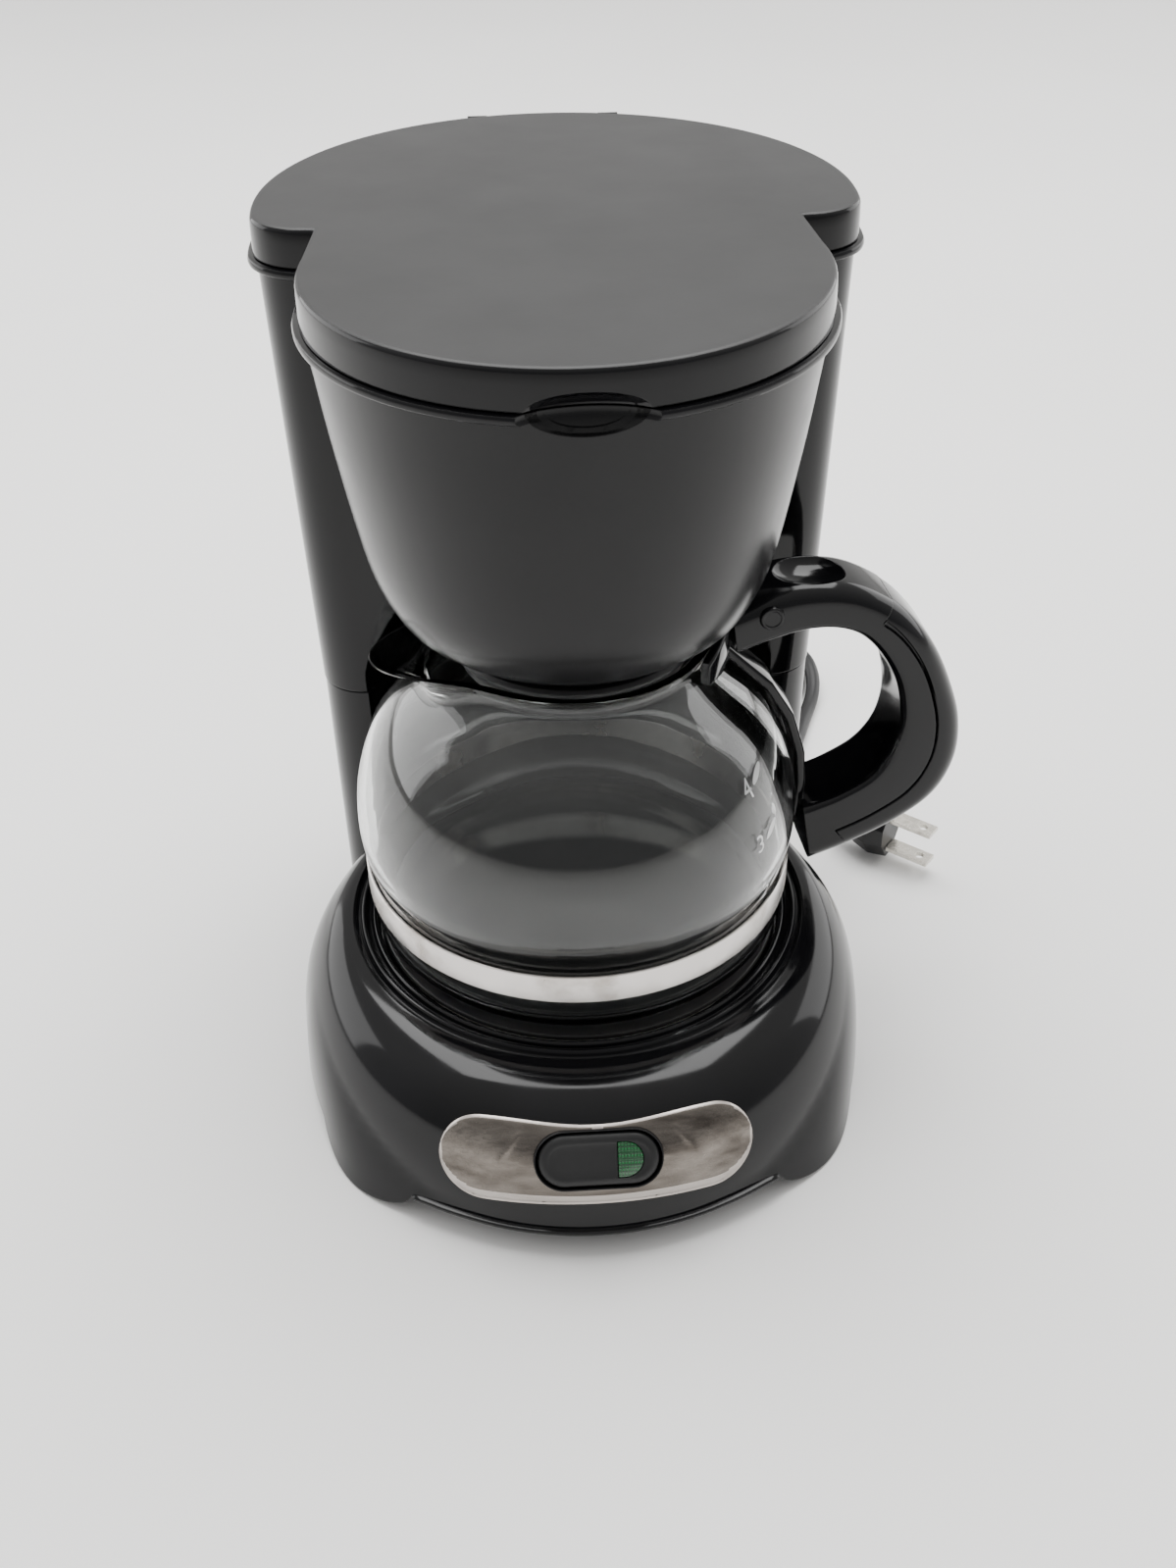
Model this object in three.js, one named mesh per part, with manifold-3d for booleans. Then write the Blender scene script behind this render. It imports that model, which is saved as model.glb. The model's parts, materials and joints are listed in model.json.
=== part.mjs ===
// Small drip coffee maker: a base with a warming plate, a rear water tower, a brew head, a glass
// carafe and a cord. Millimetres, +Z up. The machine is drawn with the carafe axis at x = 0, y = 0
// and its front toward -Y; the whole group is then moved so the origin is under the middle of it.
import * as THREE from "three";
import { mergeVertices } from "three/addons/utils/BufferGeometryUtils.js";
import Module from "manifold-3d";

const wasm = await Module();
wasm.setup();

// ---- driving dimensions ----
const centreX = 14.3;             // middle of the outside box, from the carafe axis
const centreY = 22.9;
const gap = 0.3;                  // clearance between neighbouring parts
const wall = 2.5;                 // moulded wall thickness

const lidTop = 246.5;             // overall height
const lidThick = 10;
const rimTop = lidTop - lidThick - 0.4;
const lipOut = 1.6;               // how far the housing rim stands out
const frontLobeR = 65;            // brew-head side of the lid outline
const frontLobeY = 2;
const rearLobeR = 80.5;           // tower side of the lid outline
const rearLobeY = 53;
const cornerR = 16;               // rounded front corners of the tower
const towerFrontY = 31;           // flat front faces of the tower

const splitZ = 106;               // joint between lower tower and upper housing
const headFloorZ = 152;           // underside of the brew head
const bayR = 69.5;                // round bay for the carafe
const bayNeckR = 57.5;            // and round the neck of the carafe
const headHoleR = 30;             // hole under the brew basket

const baseTopZ = 48;
const skirtFootR = 85.5;          // base skirt at the floor
const skirtY = -11;
const plateR = 60.5;
const plateTopZ = 48.2;

const glassBottomZ = 48.8;
const glassMaxR = 64.2;
const glassWall = 2.2;
const neckR = 36.4;
const rimZ = 145.5;
const spoutAngle = 193;           // degrees round the carafe axis
const handleAngle = 5;

const handleWidth = 22;
const pinR = 50;                  // carafe-lid pin, out from the axis
const pinZ = 149.5;

const hingeY = 139.5;             // top-lid hinge axis
const hingeZ = 241;

const panelTilt = 29;             // control panel leans back from vertical, degrees
const panelY = -87.2;             // middle of the control panel
const panelZ = 30.5;
const rockerLong = 34;
const rockerTall = 16.5;

const earX = 20;                  // hinge ears on the housing, either side of the middle
const earHalf = 3;
const knuckleX = 13.5;            // hinge knuckles on the lid, inside the ears
const hingePinR = 1.2;
const hingeHoleR = 1.45;
const crossPinR = 1.2;            // carafe-lid pin
const crossHoleR = 1.5;
const hoseX = 24;                 // water hoses, either side of the middle
const hoseY = 100;

const cordR = 2.8;
const cordExitX = 34;
const cordExitZ = 16;
const coilX = 71;                 // middle of the cord's coil
const coilY = 190;
const coilR = 30;                 // middle of its turns
const coilTurns = 3;

// ---- helpers ----
const DEG = Math.PI / 180;
const finishes = {};
function finish(name, color, roughness = 0.5, metalness = 0, extra = {}) {
  finishes[name] = new THREE.MeshPhysicalMaterial({ color, roughness, metalness, ...extra });
}
finish("gloss_black", 0x0b0b0c, 0.15);
finish("satin_black", 0x1c1d1f, 0.45);
finish("matte_charcoal", 0x2a2b2d, 0.7);
finish("grey_plastic", 0x55585a, 0.5);
finish("clear_glass", 0xdfe8e6, 0.03, 0, { transparent: true, opacity: 0.35 });
finish("polished_steel", 0xc9c7c2, 0.15, 1);
finish("brushed_steel", 0xb8b4ae, 0.35, 1);
finish("dark_coating", 0x161617, 0.5);
finish("aluminium", 0xa8abae, 0.4, 1);
finish("rubber", 0x141414, 0.85);
finish("silicone", 0xc8c8c4, 0.6);
finish("green_lens", 0x0e7a33, 0.2);
finish("brass", 0xb08d4a, 0.35, 1);
finish("nickel", 0xa9a69d, 0.3, 1);

const machine = new THREE.Group();
machine.name = "drip_coffee_maker";

function toSolid(geometry) {
  const g = geometry.clone();
  g.deleteAttribute("normal");
  g.deleteAttribute("uv");
  const m = mergeVertices(g, 1e-4);
  return new wasm.Manifold(new wasm.Mesh({
    numProp: 3,
    vertProperties: new Float32Array(m.attributes.position.array),
    triVerts: new Uint32Array(m.index.array),
  }));
}

function toGeometry(solid) {
  const mesh = solid.getMesh();
  const g = new THREE.BufferGeometry();
  g.setAttribute("position", new THREE.BufferAttribute(new Float32Array(mesh.vertProperties), 3));
  g.setIndex(new THREE.BufferAttribute(new Uint32Array(mesh.triVerts), 1));
  g.computeVertexNormals();
  return g;
}

function add(name, shape, material, turn = null) {
  const g = shape.isBufferGeometry ? shape : toGeometry(shape);
  if (turn) g.applyMatrix4(turn);
  const mesh = new THREE.Mesh(g, finishes[material]);
  mesh.name = name;
  machine.add(mesh);
  return mesh;
}

// surface of a profile of [radius, z] pairs turned round the z axis
function lathe(profile, segments = 40, x = 0, y = 0) {
  const g = new THREE.LatheGeometry(profile.map(([r, z]) => new THREE.Vector2(r, z)), segments);
  g.rotateX(Math.PI / 2);
  g.translate(x, y, 0);
  return g;
}

function turned(profile, segments = 40, x = 0, y = 0) {
  return toSolidChecked(lathe(profile, segments, x, y));
}

// solid from a surface whose faces may be wound inward
function toSolidChecked(geometry) {
  let solid = toSolid(geometry);
  if (solid.volume() < 0) {
    const g = mergeVertices(geometry.clone().deleteAttribute("normal").deleteAttribute("uv"), 1e-4);
    const idx = Array.from(g.index.array);
    for (let i = 0; i < idx.length; i += 3) [idx[i + 1], idx[i + 2]] = [idx[i + 2], idx[i + 1]];
    g.setIndex(idx);
    solid = toSolid(g);
  }
  return solid;
}

function disc(r, z0, z1, x = 0, y = 0, segments = 40) {
  return turned([[0, z0], [r, z0], [r, z1], [0, z1]], segments, x, y);
}

function ring(r0, r1, z0, z1, x = 0, y = 0, segments = 40) {
  return turned([[r0, z0], [r1, z0], [r1, z1], [r0, z1], [r0, z0]], segments, x, y);
}

function box(x0, x1, y0, y1, z0, z1) {
  const g = new THREE.BoxGeometry(x1 - x0, y1 - y0, z1 - z0);
  g.translate((x0 + x1) / 2, (y0 + y1) / 2, (z0 + z1) / 2);
  return toSolid(g);
}

// body through equal-count outlines, each {points: [[x, y]...], z}, from bottom to top
function loft(sections) {
  const n = sections[0].points.length;
  const position = [];
  const index = [];
  for (const s of sections) for (const [x, y] of s.points) position.push(x, y, s.z);
  for (let k = 0; k < sections.length - 1; k++) {
    for (let i = 0; i < n; i++) {
      const a = k * n + i, b = k * n + ((i + 1) % n);
      index.push(a, b, b + n, a, b + n, a + n);
    }
  }
  const cap = (s) => THREE.ShapeUtils.triangulateShape(s.points.map(([x, y]) => new THREE.Vector2(x, y)), []);
  const top = (sections.length - 1) * n;
  for (const [a, b, c] of cap(sections[0])) index.push(a, c, b);
  for (const [a, b, c] of cap(sections[sections.length - 1])) index.push(top + a, top + b, top + c);
  const g = new THREE.BufferGeometry();
  g.setAttribute("position", new THREE.Float32BufferAttribute(position, 3));
  g.setIndex(index);
  return toSolidChecked(g);
}

function arc(cx, cy, r, from, to, steps) {
  const out = [];
  for (let i = 0; i <= steps; i++) {
    const a = (from + ((to - from) * i) / steps) * DEG;
    out.push([cx + r * Math.cos(a), cy + r * Math.sin(a)]);
  }
  return out;
}

// right half given from front to back; the left half is its mirror
function mirrored(half) {
  const left = half.filter(([x]) => x > 1e-6).map(([x, y]) => [-x, y]).reverse();
  return [...half, ...left];
}

// rear-lobe outline: a circle cut flat in front with rounded corners
function rearLobe(radius, corner, centre, front, steps = 9) {
  const cy = front + corner;
  const cx = Math.sqrt((radius - corner) ** 2 - (centre - cy) ** 2);
  const tangent = Math.atan2(cy - centre, cx) / DEG;
  return mirrored([
    [0, front],
    ...arc(cx, cy, corner, -90, tangent, 4),
    ...arc(0, centre, radius, tangent, 90, steps).slice(1),
  ]);
}

// whole-lid outline, grown outward by d
function lidOutline(d) {
  const front = towerFrontY - d;
  const corner = cornerR + d;
  const cy = towerFrontY + cornerR;
  const cx = Math.sqrt((rearLobeR - cornerR) ** 2 - (rearLobeY - cy) ** 2);
  const tangent = Math.atan2(cy - rearLobeY, cx) / DEG;
  return mirrored([
    ...arc(0, frontLobeY, frontLobeR + d, -90, 6, 12),
    [frontLobeR - 2.2 + d, front],
    ...arc(cx, cy, corner, -90, tangent, 4),
    ...arc(0, rearLobeY, rearLobeR + d, tangent, 90, 10).slice(1),
  ]);
}

// smooth bent round tube through hand-placed points
function tube(points, radius, steps = 24, sides = 10) {
  const path = new THREE.CatmullRomCurve3(points.map((p) => new THREE.Vector3(...p)));
  const shape = new THREE.Shape();
  shape.absarc(0, 0, radius, 0, Math.PI * 2);
  return new THREE.ExtrudeGeometry(shape, { steps, curveSegments: sides / 2, extrudePath: path });
}

// outline in the x-z plane pushed out along y, centred on y = 0
function slab(outline, width) {
  const shape = new THREE.Shape(outline.map(([x, z]) => new THREE.Vector2(x, z)));
  const g = new THREE.ExtrudeGeometry(shape, { depth: width, bevelEnabled: false, curveSegments: 1 });
  g.rotateX(Math.PI / 2);
  g.translate(0, width / 2, 0);
  return toSolidChecked(g);
}

function smooth(points, steps) {
  const curve = new THREE.CatmullRomCurve3(points.map(([x, z]) => new THREE.Vector3(x, 0, z)));
  return curve.getPoints(steps).map((p) => [p.x, p.z]);
}

// flat egg that hollows a finger notch out of the lid's edge and the rim under it
const notchHalf = [24.5, 9.6, 5.6];
const notchShape = new THREE.SphereGeometry(1, 24, 12);
notchShape.scale(...notchHalf);
notchShape.translate(1.5, frontLobeY - frontLobeR - 7.4, 238);
const fingerNotch = toSolid(notchShape);

// ---- upper housing: brew head and water tower ----
const headProfile = [[38, headFloorZ], [44.5, headFloorZ + 2.2], [49, 158.5], [54.5, 173], [60, 203], [63.5, 226],
  [64.6, rimTop]];
const headOuter = [[0, headFloorZ], ...headProfile, [0, rimTop]];
const headInner = [[0, headFloorZ + wall], [37, headFloorZ + wall], [42.6, 156.8], [46.8, 161], [52, 174],
  [57.5, 203.5], [61, 226], [62.1, rimTop + 2], [0, rimTop + 2]];

function tower(z, inset) {
  const t = (z - splitZ) / (rimTop - splitZ);
  const r = 75.5 + 4.2 * t - inset;
  return { z, points: rearLobe(r, cornerR - inset, rearLobeY, towerFrontY + 1.4 + inset) };
}
let upper = loft([tower(splitZ, 0), tower(150, 0), tower(rimTop, 0)])
  .add(turned(headOuter, 40, 0, frontLobeY))
  .add(loft([{ z: rimTop - 2.2, points: lidOutline(lipOut) }, { z: rimTop, points: lidOutline(lipOut) }]));
upper = upper.subtract(turned([[0, splitZ - 1], [bayR, splitZ - 1], [bayR, 110], [68, 117], [63.5, 127], [59.4, 135],
  [bayNeckR, 143], [bayNeckR, headFloorZ - 0.01], [0, headFloorZ - 0.01]], 48));
upper = upper.subtract(turned(headInner, 40, 0, frontLobeY));
const headWithWall = turned(headOuter, 40, 0, frontLobeY).add(disc(bayR + wall, splitZ - 1, headFloorZ + wall));
const tankVoid = loft([tower(splitZ + 4, wall), tower(rimTop + 2, wall)]).subtract(headWithWall);
upper = upper.subtract(tankVoid);
upper = upper.subtract(disc(headHoleR, headFloorZ - 1, headFloorZ + 4, 0, frontLobeY, 48));
// notch in the partition for the water spout
upper = upper.subtract(box(3, 20, 58, 73, 230.4, rimTop + 1));
for (const side of [-1, 1]) {
  upper = upper.subtract(disc(6.5, splitZ - 1, splitZ + 5, side * hoseX, hoseY, 20));
  upper = upper.add(box(side * earX - earHalf, side * earX + earHalf, 132.2, 142.6, 231, hingeZ + 2.6));
}
upper = upper.subtract(box(-16, 16, 133.4, 143, rimTop, hingeZ - 4.2));
// round bar along the lid's hinge axis
const onHinge = (x0, x1, r) => {
  const g = new THREE.CylinderGeometry(r, r, Math.abs(x1 - x0), 16);
  g.rotateZ(Math.PI / 2);
  g.translate((x0 + x1) / 2, hingeY, hingeZ);
  return toSolid(g);
};
upper = upper.subtract(onHinge(-30, 30, hingeHoleR)).subtract(fingerNotch);
add("upper_housing", upper, "gloss_black");

// ---- top lid with shower plate, on two pins ----
let lid = loft([
  { z: rimTop + 0.4, points: lidOutline(0) },
  { z: lidTop - 1.2, points: lidOutline(-0.2) },
  { z: lidTop, points: lidOutline(-1.3) },
]);
lid = lid.subtract(loft([{ z: rimTop - 1, points: lidOutline(-2.2) }, { z: lidTop - 2.2, points: lidOutline(-2.2) }]));
lid = lid.subtract(fingerNotch);
for (const side of [-1, 1]) {
  const knuckle = onHinge(side * 9.7, side * 16.7, 3)
    .add(box(side * knuckleX - 2.5, side * knuckleX + 2.5, 132, hingeY, hingeZ - 1.6, hingeZ + 2.6));
  lid = lid.add(knuckle);
}
lid = lid.subtract(onHinge(-30, 30, hingeHoleR));
add("top_lid", lid, "matte_charcoal");
for (const [side, name] of [[-1, "left"], [1, "right"]]) {
  add(`lid_hinge_pin_${name}`, onHinge(side * 11.5, side * 22.6, hingePinR), "nickel");
}
let shower = turned([[0, lidTop - 5.2], [44, lidTop - 5.2], [44, lidTop - 2.5], [42.4, lidTop - 2.5],
  [42.4, lidTop - 3.7], [0, lidTop - 3.7]], 32, 0, frontLobeY);
for (let i = 0; i < 6; i++) {
  const a = (i * 60 + 30) * DEG;
  shower = shower.subtract(disc(2.2, lidTop - 6, lidTop - 2, 26 * Math.cos(a), frontLobeY + 26 * Math.sin(a), 8));
}
shower = shower.add(box(6, 18, 41, 72, lidTop - 5.2, lidTop - 3.4));
add("shower_plate", shower, "grey_plastic");

// ---- brew basket, drip valve, spring and seal ----
const basketFloor = headFloorZ + wall + 4.5;
let basket = turned([
  [4.4, basketFloor], [34, basketFloor], [39.5, 162.4], [43.6, 166.5], [48.6, 179], [53.8, 207], [55.6, 220], [58.8, 220.6],
  [58.8, 222.6], [54, 222.6], [52, 207.2], [46.8, 179.6], [42, 168], [38, 164.2], [33.4, basketFloor + 2],
  [4.4, basketFloor + 2], [4.4, basketFloor],
], 32, 0, frontLobeY);
for (let i = 0; i < 6; i++) {
  const a = i * 60 * DEG;
  const rib = new THREE.BoxGeometry(18, 1.6, 2.2);
  rib.translate(20, 0, basketFloor + 2.6);
  rib.rotateZ(a);
  rib.translate(0, frontLobeY, 0);
  basket = basket.add(toSolid(rib));
}
const bailPoints = [];
for (let i = 0; i <= 12; i++) {
  const a = (i / 12) * Math.PI;
  bailPoints.push([54.6 * Math.cos(a), frontLobeY, 218.6 + 7.5 * Math.sin(a)]);
}
basket = basket.add(toSolidChecked(tube(bailPoints, 1.7, 14, 8)));
add("brew_basket", basket, "satin_black");
add("drip_valve", turned([[0, 149.8], [2.2, 149.8], [3.4, 151], [3.4, basketFloor + 7.2], [8, basketFloor + 7.2],
  [8, basketFloor + 9], [0, basketFloor + 9]], 24, 0, frontLobeY), "grey_plastic");
const springPoints = [];
const springTurns = 3;
for (let i = 0; i <= springTurns * 10; i++) {
  const a = (i / 10) * Math.PI * 2;
  springPoints.push([4.9 * Math.cos(a), frontLobeY + 4.9 * Math.sin(a), 155.15 + (i / (springTurns * 10)) * 2.7]);
}
add("valve_spring", tube(springPoints, 0.4, 36, 6), "polished_steel");
add("valve_seal", ring(5.2, 8.4, basketFloor + 2.3, basketFloor + 4.2, 0, frontLobeY, 24), "silicone");

// ---- water path inside the tower ----
let reservoir = loft([tower(splitZ + 4.4, wall + 0.5), tower(214, wall + 0.5)])
  .subtract(turned(headOuter.map(([r, z]) => [r + (r > 0 ? 0.6 : 0), z]), 40, 0, frontLobeY))
  .subtract(disc(bayR + wall + 0.5, splitZ - 1, headFloorZ + wall + 0.6));
const reservoirInside = loft([tower(splitZ + 6.2, wall + 2.2), tower(216, wall + 2.2)])
  .subtract(turned(headOuter.map(([r, z]) => [r + (r > 0 ? 2.4 : 0), z - (z < 160 ? 1.8 : 0)]), 40, 0, frontLobeY))
  .subtract(disc(bayR + wall + 2.3, splitZ - 1, headFloorZ + wall + 1));
reservoir = reservoir.subtract(reservoirInside);
reservoir = reservoir.subtract(disc(5.2, splitZ, splitZ + 8, -hoseX, hoseY, 20));
reservoir = reservoir.subtract(disc(6, splitZ, splitZ + 8, hoseX, hoseY, 20));
add("water_reservoir", reservoir, "grey_plastic");

// ---- base housing: skirt, lower tower and four lobed feet ----
function skirt(z, inset) {
  const t = Math.min(1, Math.max(0, z / baseTopZ));
  const swell = Math.sqrt(Math.max(0, 1 - t ** 3.2));
  const r = 69.8 + (skirtFootR - 69.8) * swell - inset;
  return { z, points: arc(0, skirtY * swell, r, 0, 351, 39) };
}
const skirtHeights = [0.6, 14, 28, 37, 43, 46.5, baseTopZ];
function stem(z, inset) {
  const t = z / splitZ;
  return { z, points: rearLobe(74 + 1.2 * t - inset, cornerR - inset, rearLobeY, towerFrontY + 1.4 + inset) };
}
let base = loft(skirtHeights.map((z) => skirt(z, 0)))
  .add(loft([stem(0.6, 0), stem(splitZ - gap, 0)]));
base = base.subtract(disc(bayR, baseTopZ, 120));
base = base.subtract(disc(plateR + 0.6, 44.6, 60));
const baseVoid = loft([skirt(-1, wall), ...skirtHeights.slice(1, 4).map((z) => skirt(z, wall)), skirt(42, wall + 1)])
  .add(loft([stem(-1, wall), stem(splitZ - 3.5, wall)]).subtract(disc(bayR + wall, baseTopZ - wall, 120)));
base = base.subtract(baseVoid);
base = base.subtract(disc(54, 40, 50));
for (const side of [-1, 1]) base = base.subtract(disc(8.5, 100, 110, side * hoseX, hoseY, 20));
// raised lower edge between the feet, in front and at both sides
const frontArch = new THREE.CylinderGeometry(1, 1, 200, 24);
frontArch.scale(53, 1, 6.8);
base = base.subtract(toSolid(frontArch).translate([0, -100, 0]));
const sideArch = new THREE.CylinderGeometry(1, 1, 300, 24);
sideArch.rotateZ(Math.PI / 2);
sideArch.scale(1, 55, 5);
base = base.subtract(toSolid(sideArch).translate([0, 28, 0]));

// ---- control panel frame: u across, v up the slope, w out of the panel ----
const panelFrame = new THREE.Matrix4().makeRotationX((90 - panelTilt) * DEG);
panelFrame.premultiply(new THREE.Matrix4().makeTranslation(0, panelY, panelZ));
function stadium(long, tall, w0, w1, side = 10) {
  const shape = new THREE.Shape();
  const r = tall / 2;
  const h = long / 2 - r;
  shape.absarc(h, 0, r, -Math.PI / 2, Math.PI / 2);
  shape.absarc(-h, 0, r, Math.PI / 2, Math.PI * 1.5);
  const g = new THREE.ExtrudeGeometry(shape, { depth: w1 - w0, bevelEnabled: false, curveSegments: side });
  g.translate(0, 0, w0);
  return g;
}
const onPanel = (g) => toSolidChecked(g.clone().applyMatrix4(panelFrame));
const switchHole = onPanel(stadium(rockerLong + 3, rockerTall + 3, -30, 12));
base = base.subtract(switchHole);
base = base.subtract(toSolid(new THREE.CylinderGeometry(5.4, 5.4, 30, 20)).translate([cordExitX, 128, cordExitZ]));
add("base_housing", base, "gloss_black");

// curved steel plate laid 0.3 mm off the skirt
function plateSolid(off0, off1) {
  const grown = (d) => loft(skirtHeights.slice(0, -1).map((z) => skirt(z, -d)));
  return grown(off1).subtract(grown(off0));
}
const plateOutline = new THREE.Shape();
plateOutline.moveTo(-36, 11.5);
plateOutline.quadraticCurveTo(0, 15.6, 36, 11.5);
plateOutline.quadraticCurveTo(43, 9, 43.6, 1);
plateOutline.quadraticCurveTo(43.4, -9, 33, -12.8);
plateOutline.quadraticCurveTo(0, -14.8, -33, -12.8);
plateOutline.quadraticCurveTo(-43.4, -9, -43.6, 1);
plateOutline.quadraticCurveTo(-43, 9, -36, 11.5);
const plateCutter = new THREE.ExtrudeGeometry(plateOutline, { depth: 60, bevelEnabled: false, curveSegments: 8 });
plateCutter.translate(0, 0, -32);
const steelPlate = plateSolid(gap, gap + 0.8).intersect(onPanel(plateCutter)).subtract(switchHole);
add("control_plate", steelPlate, "brushed_steel");

// switch body, rocker, lens and lamp, all square to the panel
const bodyTop = 1.6;
const switchBody = onPanel(stadium(rockerLong + 2.4, rockerTall + 2.4, -16, bodyTop))
  .subtract(onPanel(stadium(rockerLong + 1, rockerTall + 1, -12.5, bodyTop + 1)));
add("switch_body", switchBody, "satin_black");
const rockerGeo = stadium(rockerLong, rockerTall, -3.2, 2.6);
const lensShape = new THREE.Shape();
lensShape.moveTo(7.4, -5.2);
lensShape.lineTo(10.2, -5.2);
lensShape.absarc(10.2, 0, 5.2, -Math.PI / 2, Math.PI / 2);
lensShape.lineTo(7.4, 5.2);
const lensGeo = (grow) => {
  const g = new THREE.ExtrudeGeometry(lensShape, { depth: 3.2, bevelEnabled: false, curveSegments: 6 });
  g.translate(-10.6, 0, 0);
  g.scale(1 + grow, 1 + grow * 1.4, 1);
  g.translate(10.6, 0, 0);
  return g;
};
const lensPocket = lensGeo(0.09);
lensPocket.translate(0, 0, 0.2);
add("rocker_switch", onPanel(rockerGeo).subtract(onPanel(lensPocket)), "matte_charcoal");
const lens = lensGeo(0);
lens.translate(0, 0, 0.6);
lens.scale(1, 1, 0.72);
add("lamp_lens", onPanel(lens), "green_lens");
const lampGeo = new THREE.CylinderGeometry(2, 2, 6, 14);
lampGeo.rotateX(Math.PI / 2);
lampGeo.translate(10, 0, -8);
add("signal_lamp", onPanel(lampGeo), "clear_glass");
for (const [x, name] of [[-9, "left"], [0, "middle"], [9, "right"]]) {
  const blade = new THREE.BoxGeometry(0.8, 6.3, 8);
  blade.translate(x, 0, -20.4);
  add(`switch_terminal_${name}`, onPanel(blade), "brass");
}

// ---- warming plate, gasket, heater and safety parts ----
add("warming_plate", turned([[0, 46.2], [58.5, 46.2], [plateR, 46.9], [plateR, plateTopZ], [56, plateTopZ],
  [54.5, plateTopZ - 0.7], [0, plateTopZ - 0.7]], 64), "dark_coating");
add("plate_gasket", ring(55, 59.4, 44.9, 45.9), "silicone");
const heaterPath = [];
for (let i = 0; i <= 16; i++) {
  const a = (125 + (290 * i) / 16) * DEG;
  heaterPath.push([34 * Math.cos(a), 34 * Math.sin(a), 40.6]);
}
heaterPath.unshift([-24, 68, 36], [-22, 50, 39.4]);
heaterPath.push([22, 50, 39.4], [24, 68, 36]);
add("heater_tube", tube(heaterPath, 5.0, 36, 8), "aluminium");
add("thermostat", ring(0.01, 8, 36.5, 45.8, 0, 0, 24), "aluminium");
const fuse = new THREE.CylinderGeometry(2.2, 2.2, 16, 12);
fuse.rotateZ(Math.PI / 2);
fuse.translate(0, -16, 42.4);
add("thermal_fuse", fuse, "nickel");
for (const [x, top, name] of [[-hoseX, 113, "inlet"], [hoseX, 118, "outlet"]]) {
  const points = [[x, 72, 36], [x, 92, 46], [x, hoseY, 70], [x, hoseY, top]];
  add(`${name}_hose`, tube(points, 4.2, 14, 8), "silicone");
}
const riserPoints = [[hoseX, hoseY, 119], [hoseX, hoseY, 160], [hoseX, hoseY, 224], [22, 92, 231], [15, 78, 234.2],
  [11.5, 69, 235]];
add("riser_tube", tube(riserPoints, 3.4, 20, 8), "grey_plastic");

// ---- bottom cover, screws, rubber feet ----
let cover = loft([stem(2.2, wall + 0.6), stem(4.4, wall + 0.6)]).add(loft([skirt(2.2, wall + 3), skirt(4.4, wall + 3)]));
cover = cover.subtract(box(-54, 54, -110, -86.5, 0, 8));
for (let i = -3; i <= 3; i++) cover = cover.subtract(box(-22, 22, i * 9 + 19, i * 9 + 22.4, 1, 6));
const feet = [[-50, -60, "front_left"], [50, -60, "front_right"], [-44, 90, "rear_left"], [44, 90, "rear_right"]];
const screws = [[-34, -54, "front_left"], [34, -54, "front_right"], [-34, 108, "rear_left"], [34, 108, "rear_right"]];
for (const [x, y] of screws) cover = cover.subtract(disc(2.3, 1, 6, x, y, 14));
add("bottom_cover", cover, "satin_black");
for (const [x, y, name] of feet) {
  add(`rubber_foot_${name}`, turned([[0, 0], [5.6, 0], [6.5, 0.9], [6.5, 1.9], [0, 1.9]], 16, x, y), "rubber");
}
for (const [x, y, name] of screws) {
  const profile = [[0, 0.9], [3.4, 0.9], [3.4, 1.9], [1.6, 1.9], [1.6, 14], [0, 14]];
  add(`cover_screw_${name}`, turned(profile, 12, x, y), "polished_steel");
}

// ---- carafe ----
const carafeTurn = new THREE.Matrix4().makeRotationZ(handleAngle * DEG);
const glassProfile = [[46, glassBottomZ], [56.5, 49.8], [62.0, 55], [62.2, 74], [63.6, 80], [glassMaxR, 88],
  [63.2, 99], [59.2, 112], [52.4, 123.4], [43.2, 132.4], [37.6, 137.9], [neckR, 141.2], [38.4, rimZ]];
const inside = glassProfile.slice(1).map(([r, z]) => [r - glassWall, z > 140 ? z : z + (z < 60 ? 1.6 : 0)]);
inside[inside.length - 1] = [38.4 - glassWall, rimZ];
inside.reverse();
const glassGeo = lathe([[0, glassBottomZ + 1], [44, glassBottomZ + 1], ...glassProfile, ...inside, [44, 53], [0, 53]]);
// rim pushed outward into the pouring spout
const p = glassGeo.attributes.position;
for (let i = 0; i < p.count; i++) {
  const x = p.getX(i), y = p.getY(i), z = p.getZ(i);
  const lift = Math.max(0, (z - 131) / (rimZ - 131));
  let off = Math.atan2(y, x) / DEG - (spoutAngle - 360);
  off = Math.abs(((off + 540) % 360) - 180);
  const push = 18.5 * lift ** 1.6 * Math.exp(-((off / 21) ** 2));
  const r = Math.hypot(x, y);
  if (r > 1 && push > 0) p.setXY(i, x * (1 + push / r), y * (1 + push / r));
}
add("carafe_glass", toSolidChecked(glassGeo), "clear_glass");
add("carafe_band", ring(62.6, 63.2, 63.8, 73.2), "polished_steel");

// handle frame and cover, drawn in the plane through the carafe axis, then turned
const outerLine = smooth([[84.5, 151.6], [92, 146.5], [100.5, 136.5], [108.5, 121], [113.4, 103], [111.6, 87.5],
  [103.5, 77], [92, 69.6], [85, 66.2]], 22);
const seamLine = smooth([[81.5, 145], [88, 140.5], [96.5, 129.5], [102.5, 116], [104.6, 102.5], [102.6, 91.5],
  [96.5, 83.6], [88, 77.5], [84.6, 75]], 20);
const handleOutline = [[41, 136.5], [41, 152], [52, 156], [64, 157.4], [74, 156.4], ...outerLine,
  [74, 61.5], [67.2, 60.4], [67.2, 82.6], [77, 86], [86, 91], [92, 99.5], [93.8, 112], [90.5, 126],
  [82, 138.5], [72, 144], [60, 143.6], [48.5, 139]];
const coverOutline = [...outerLine, ...seamLine.slice().reverse()];
let frame = slab(handleOutline, handleWidth);
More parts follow.
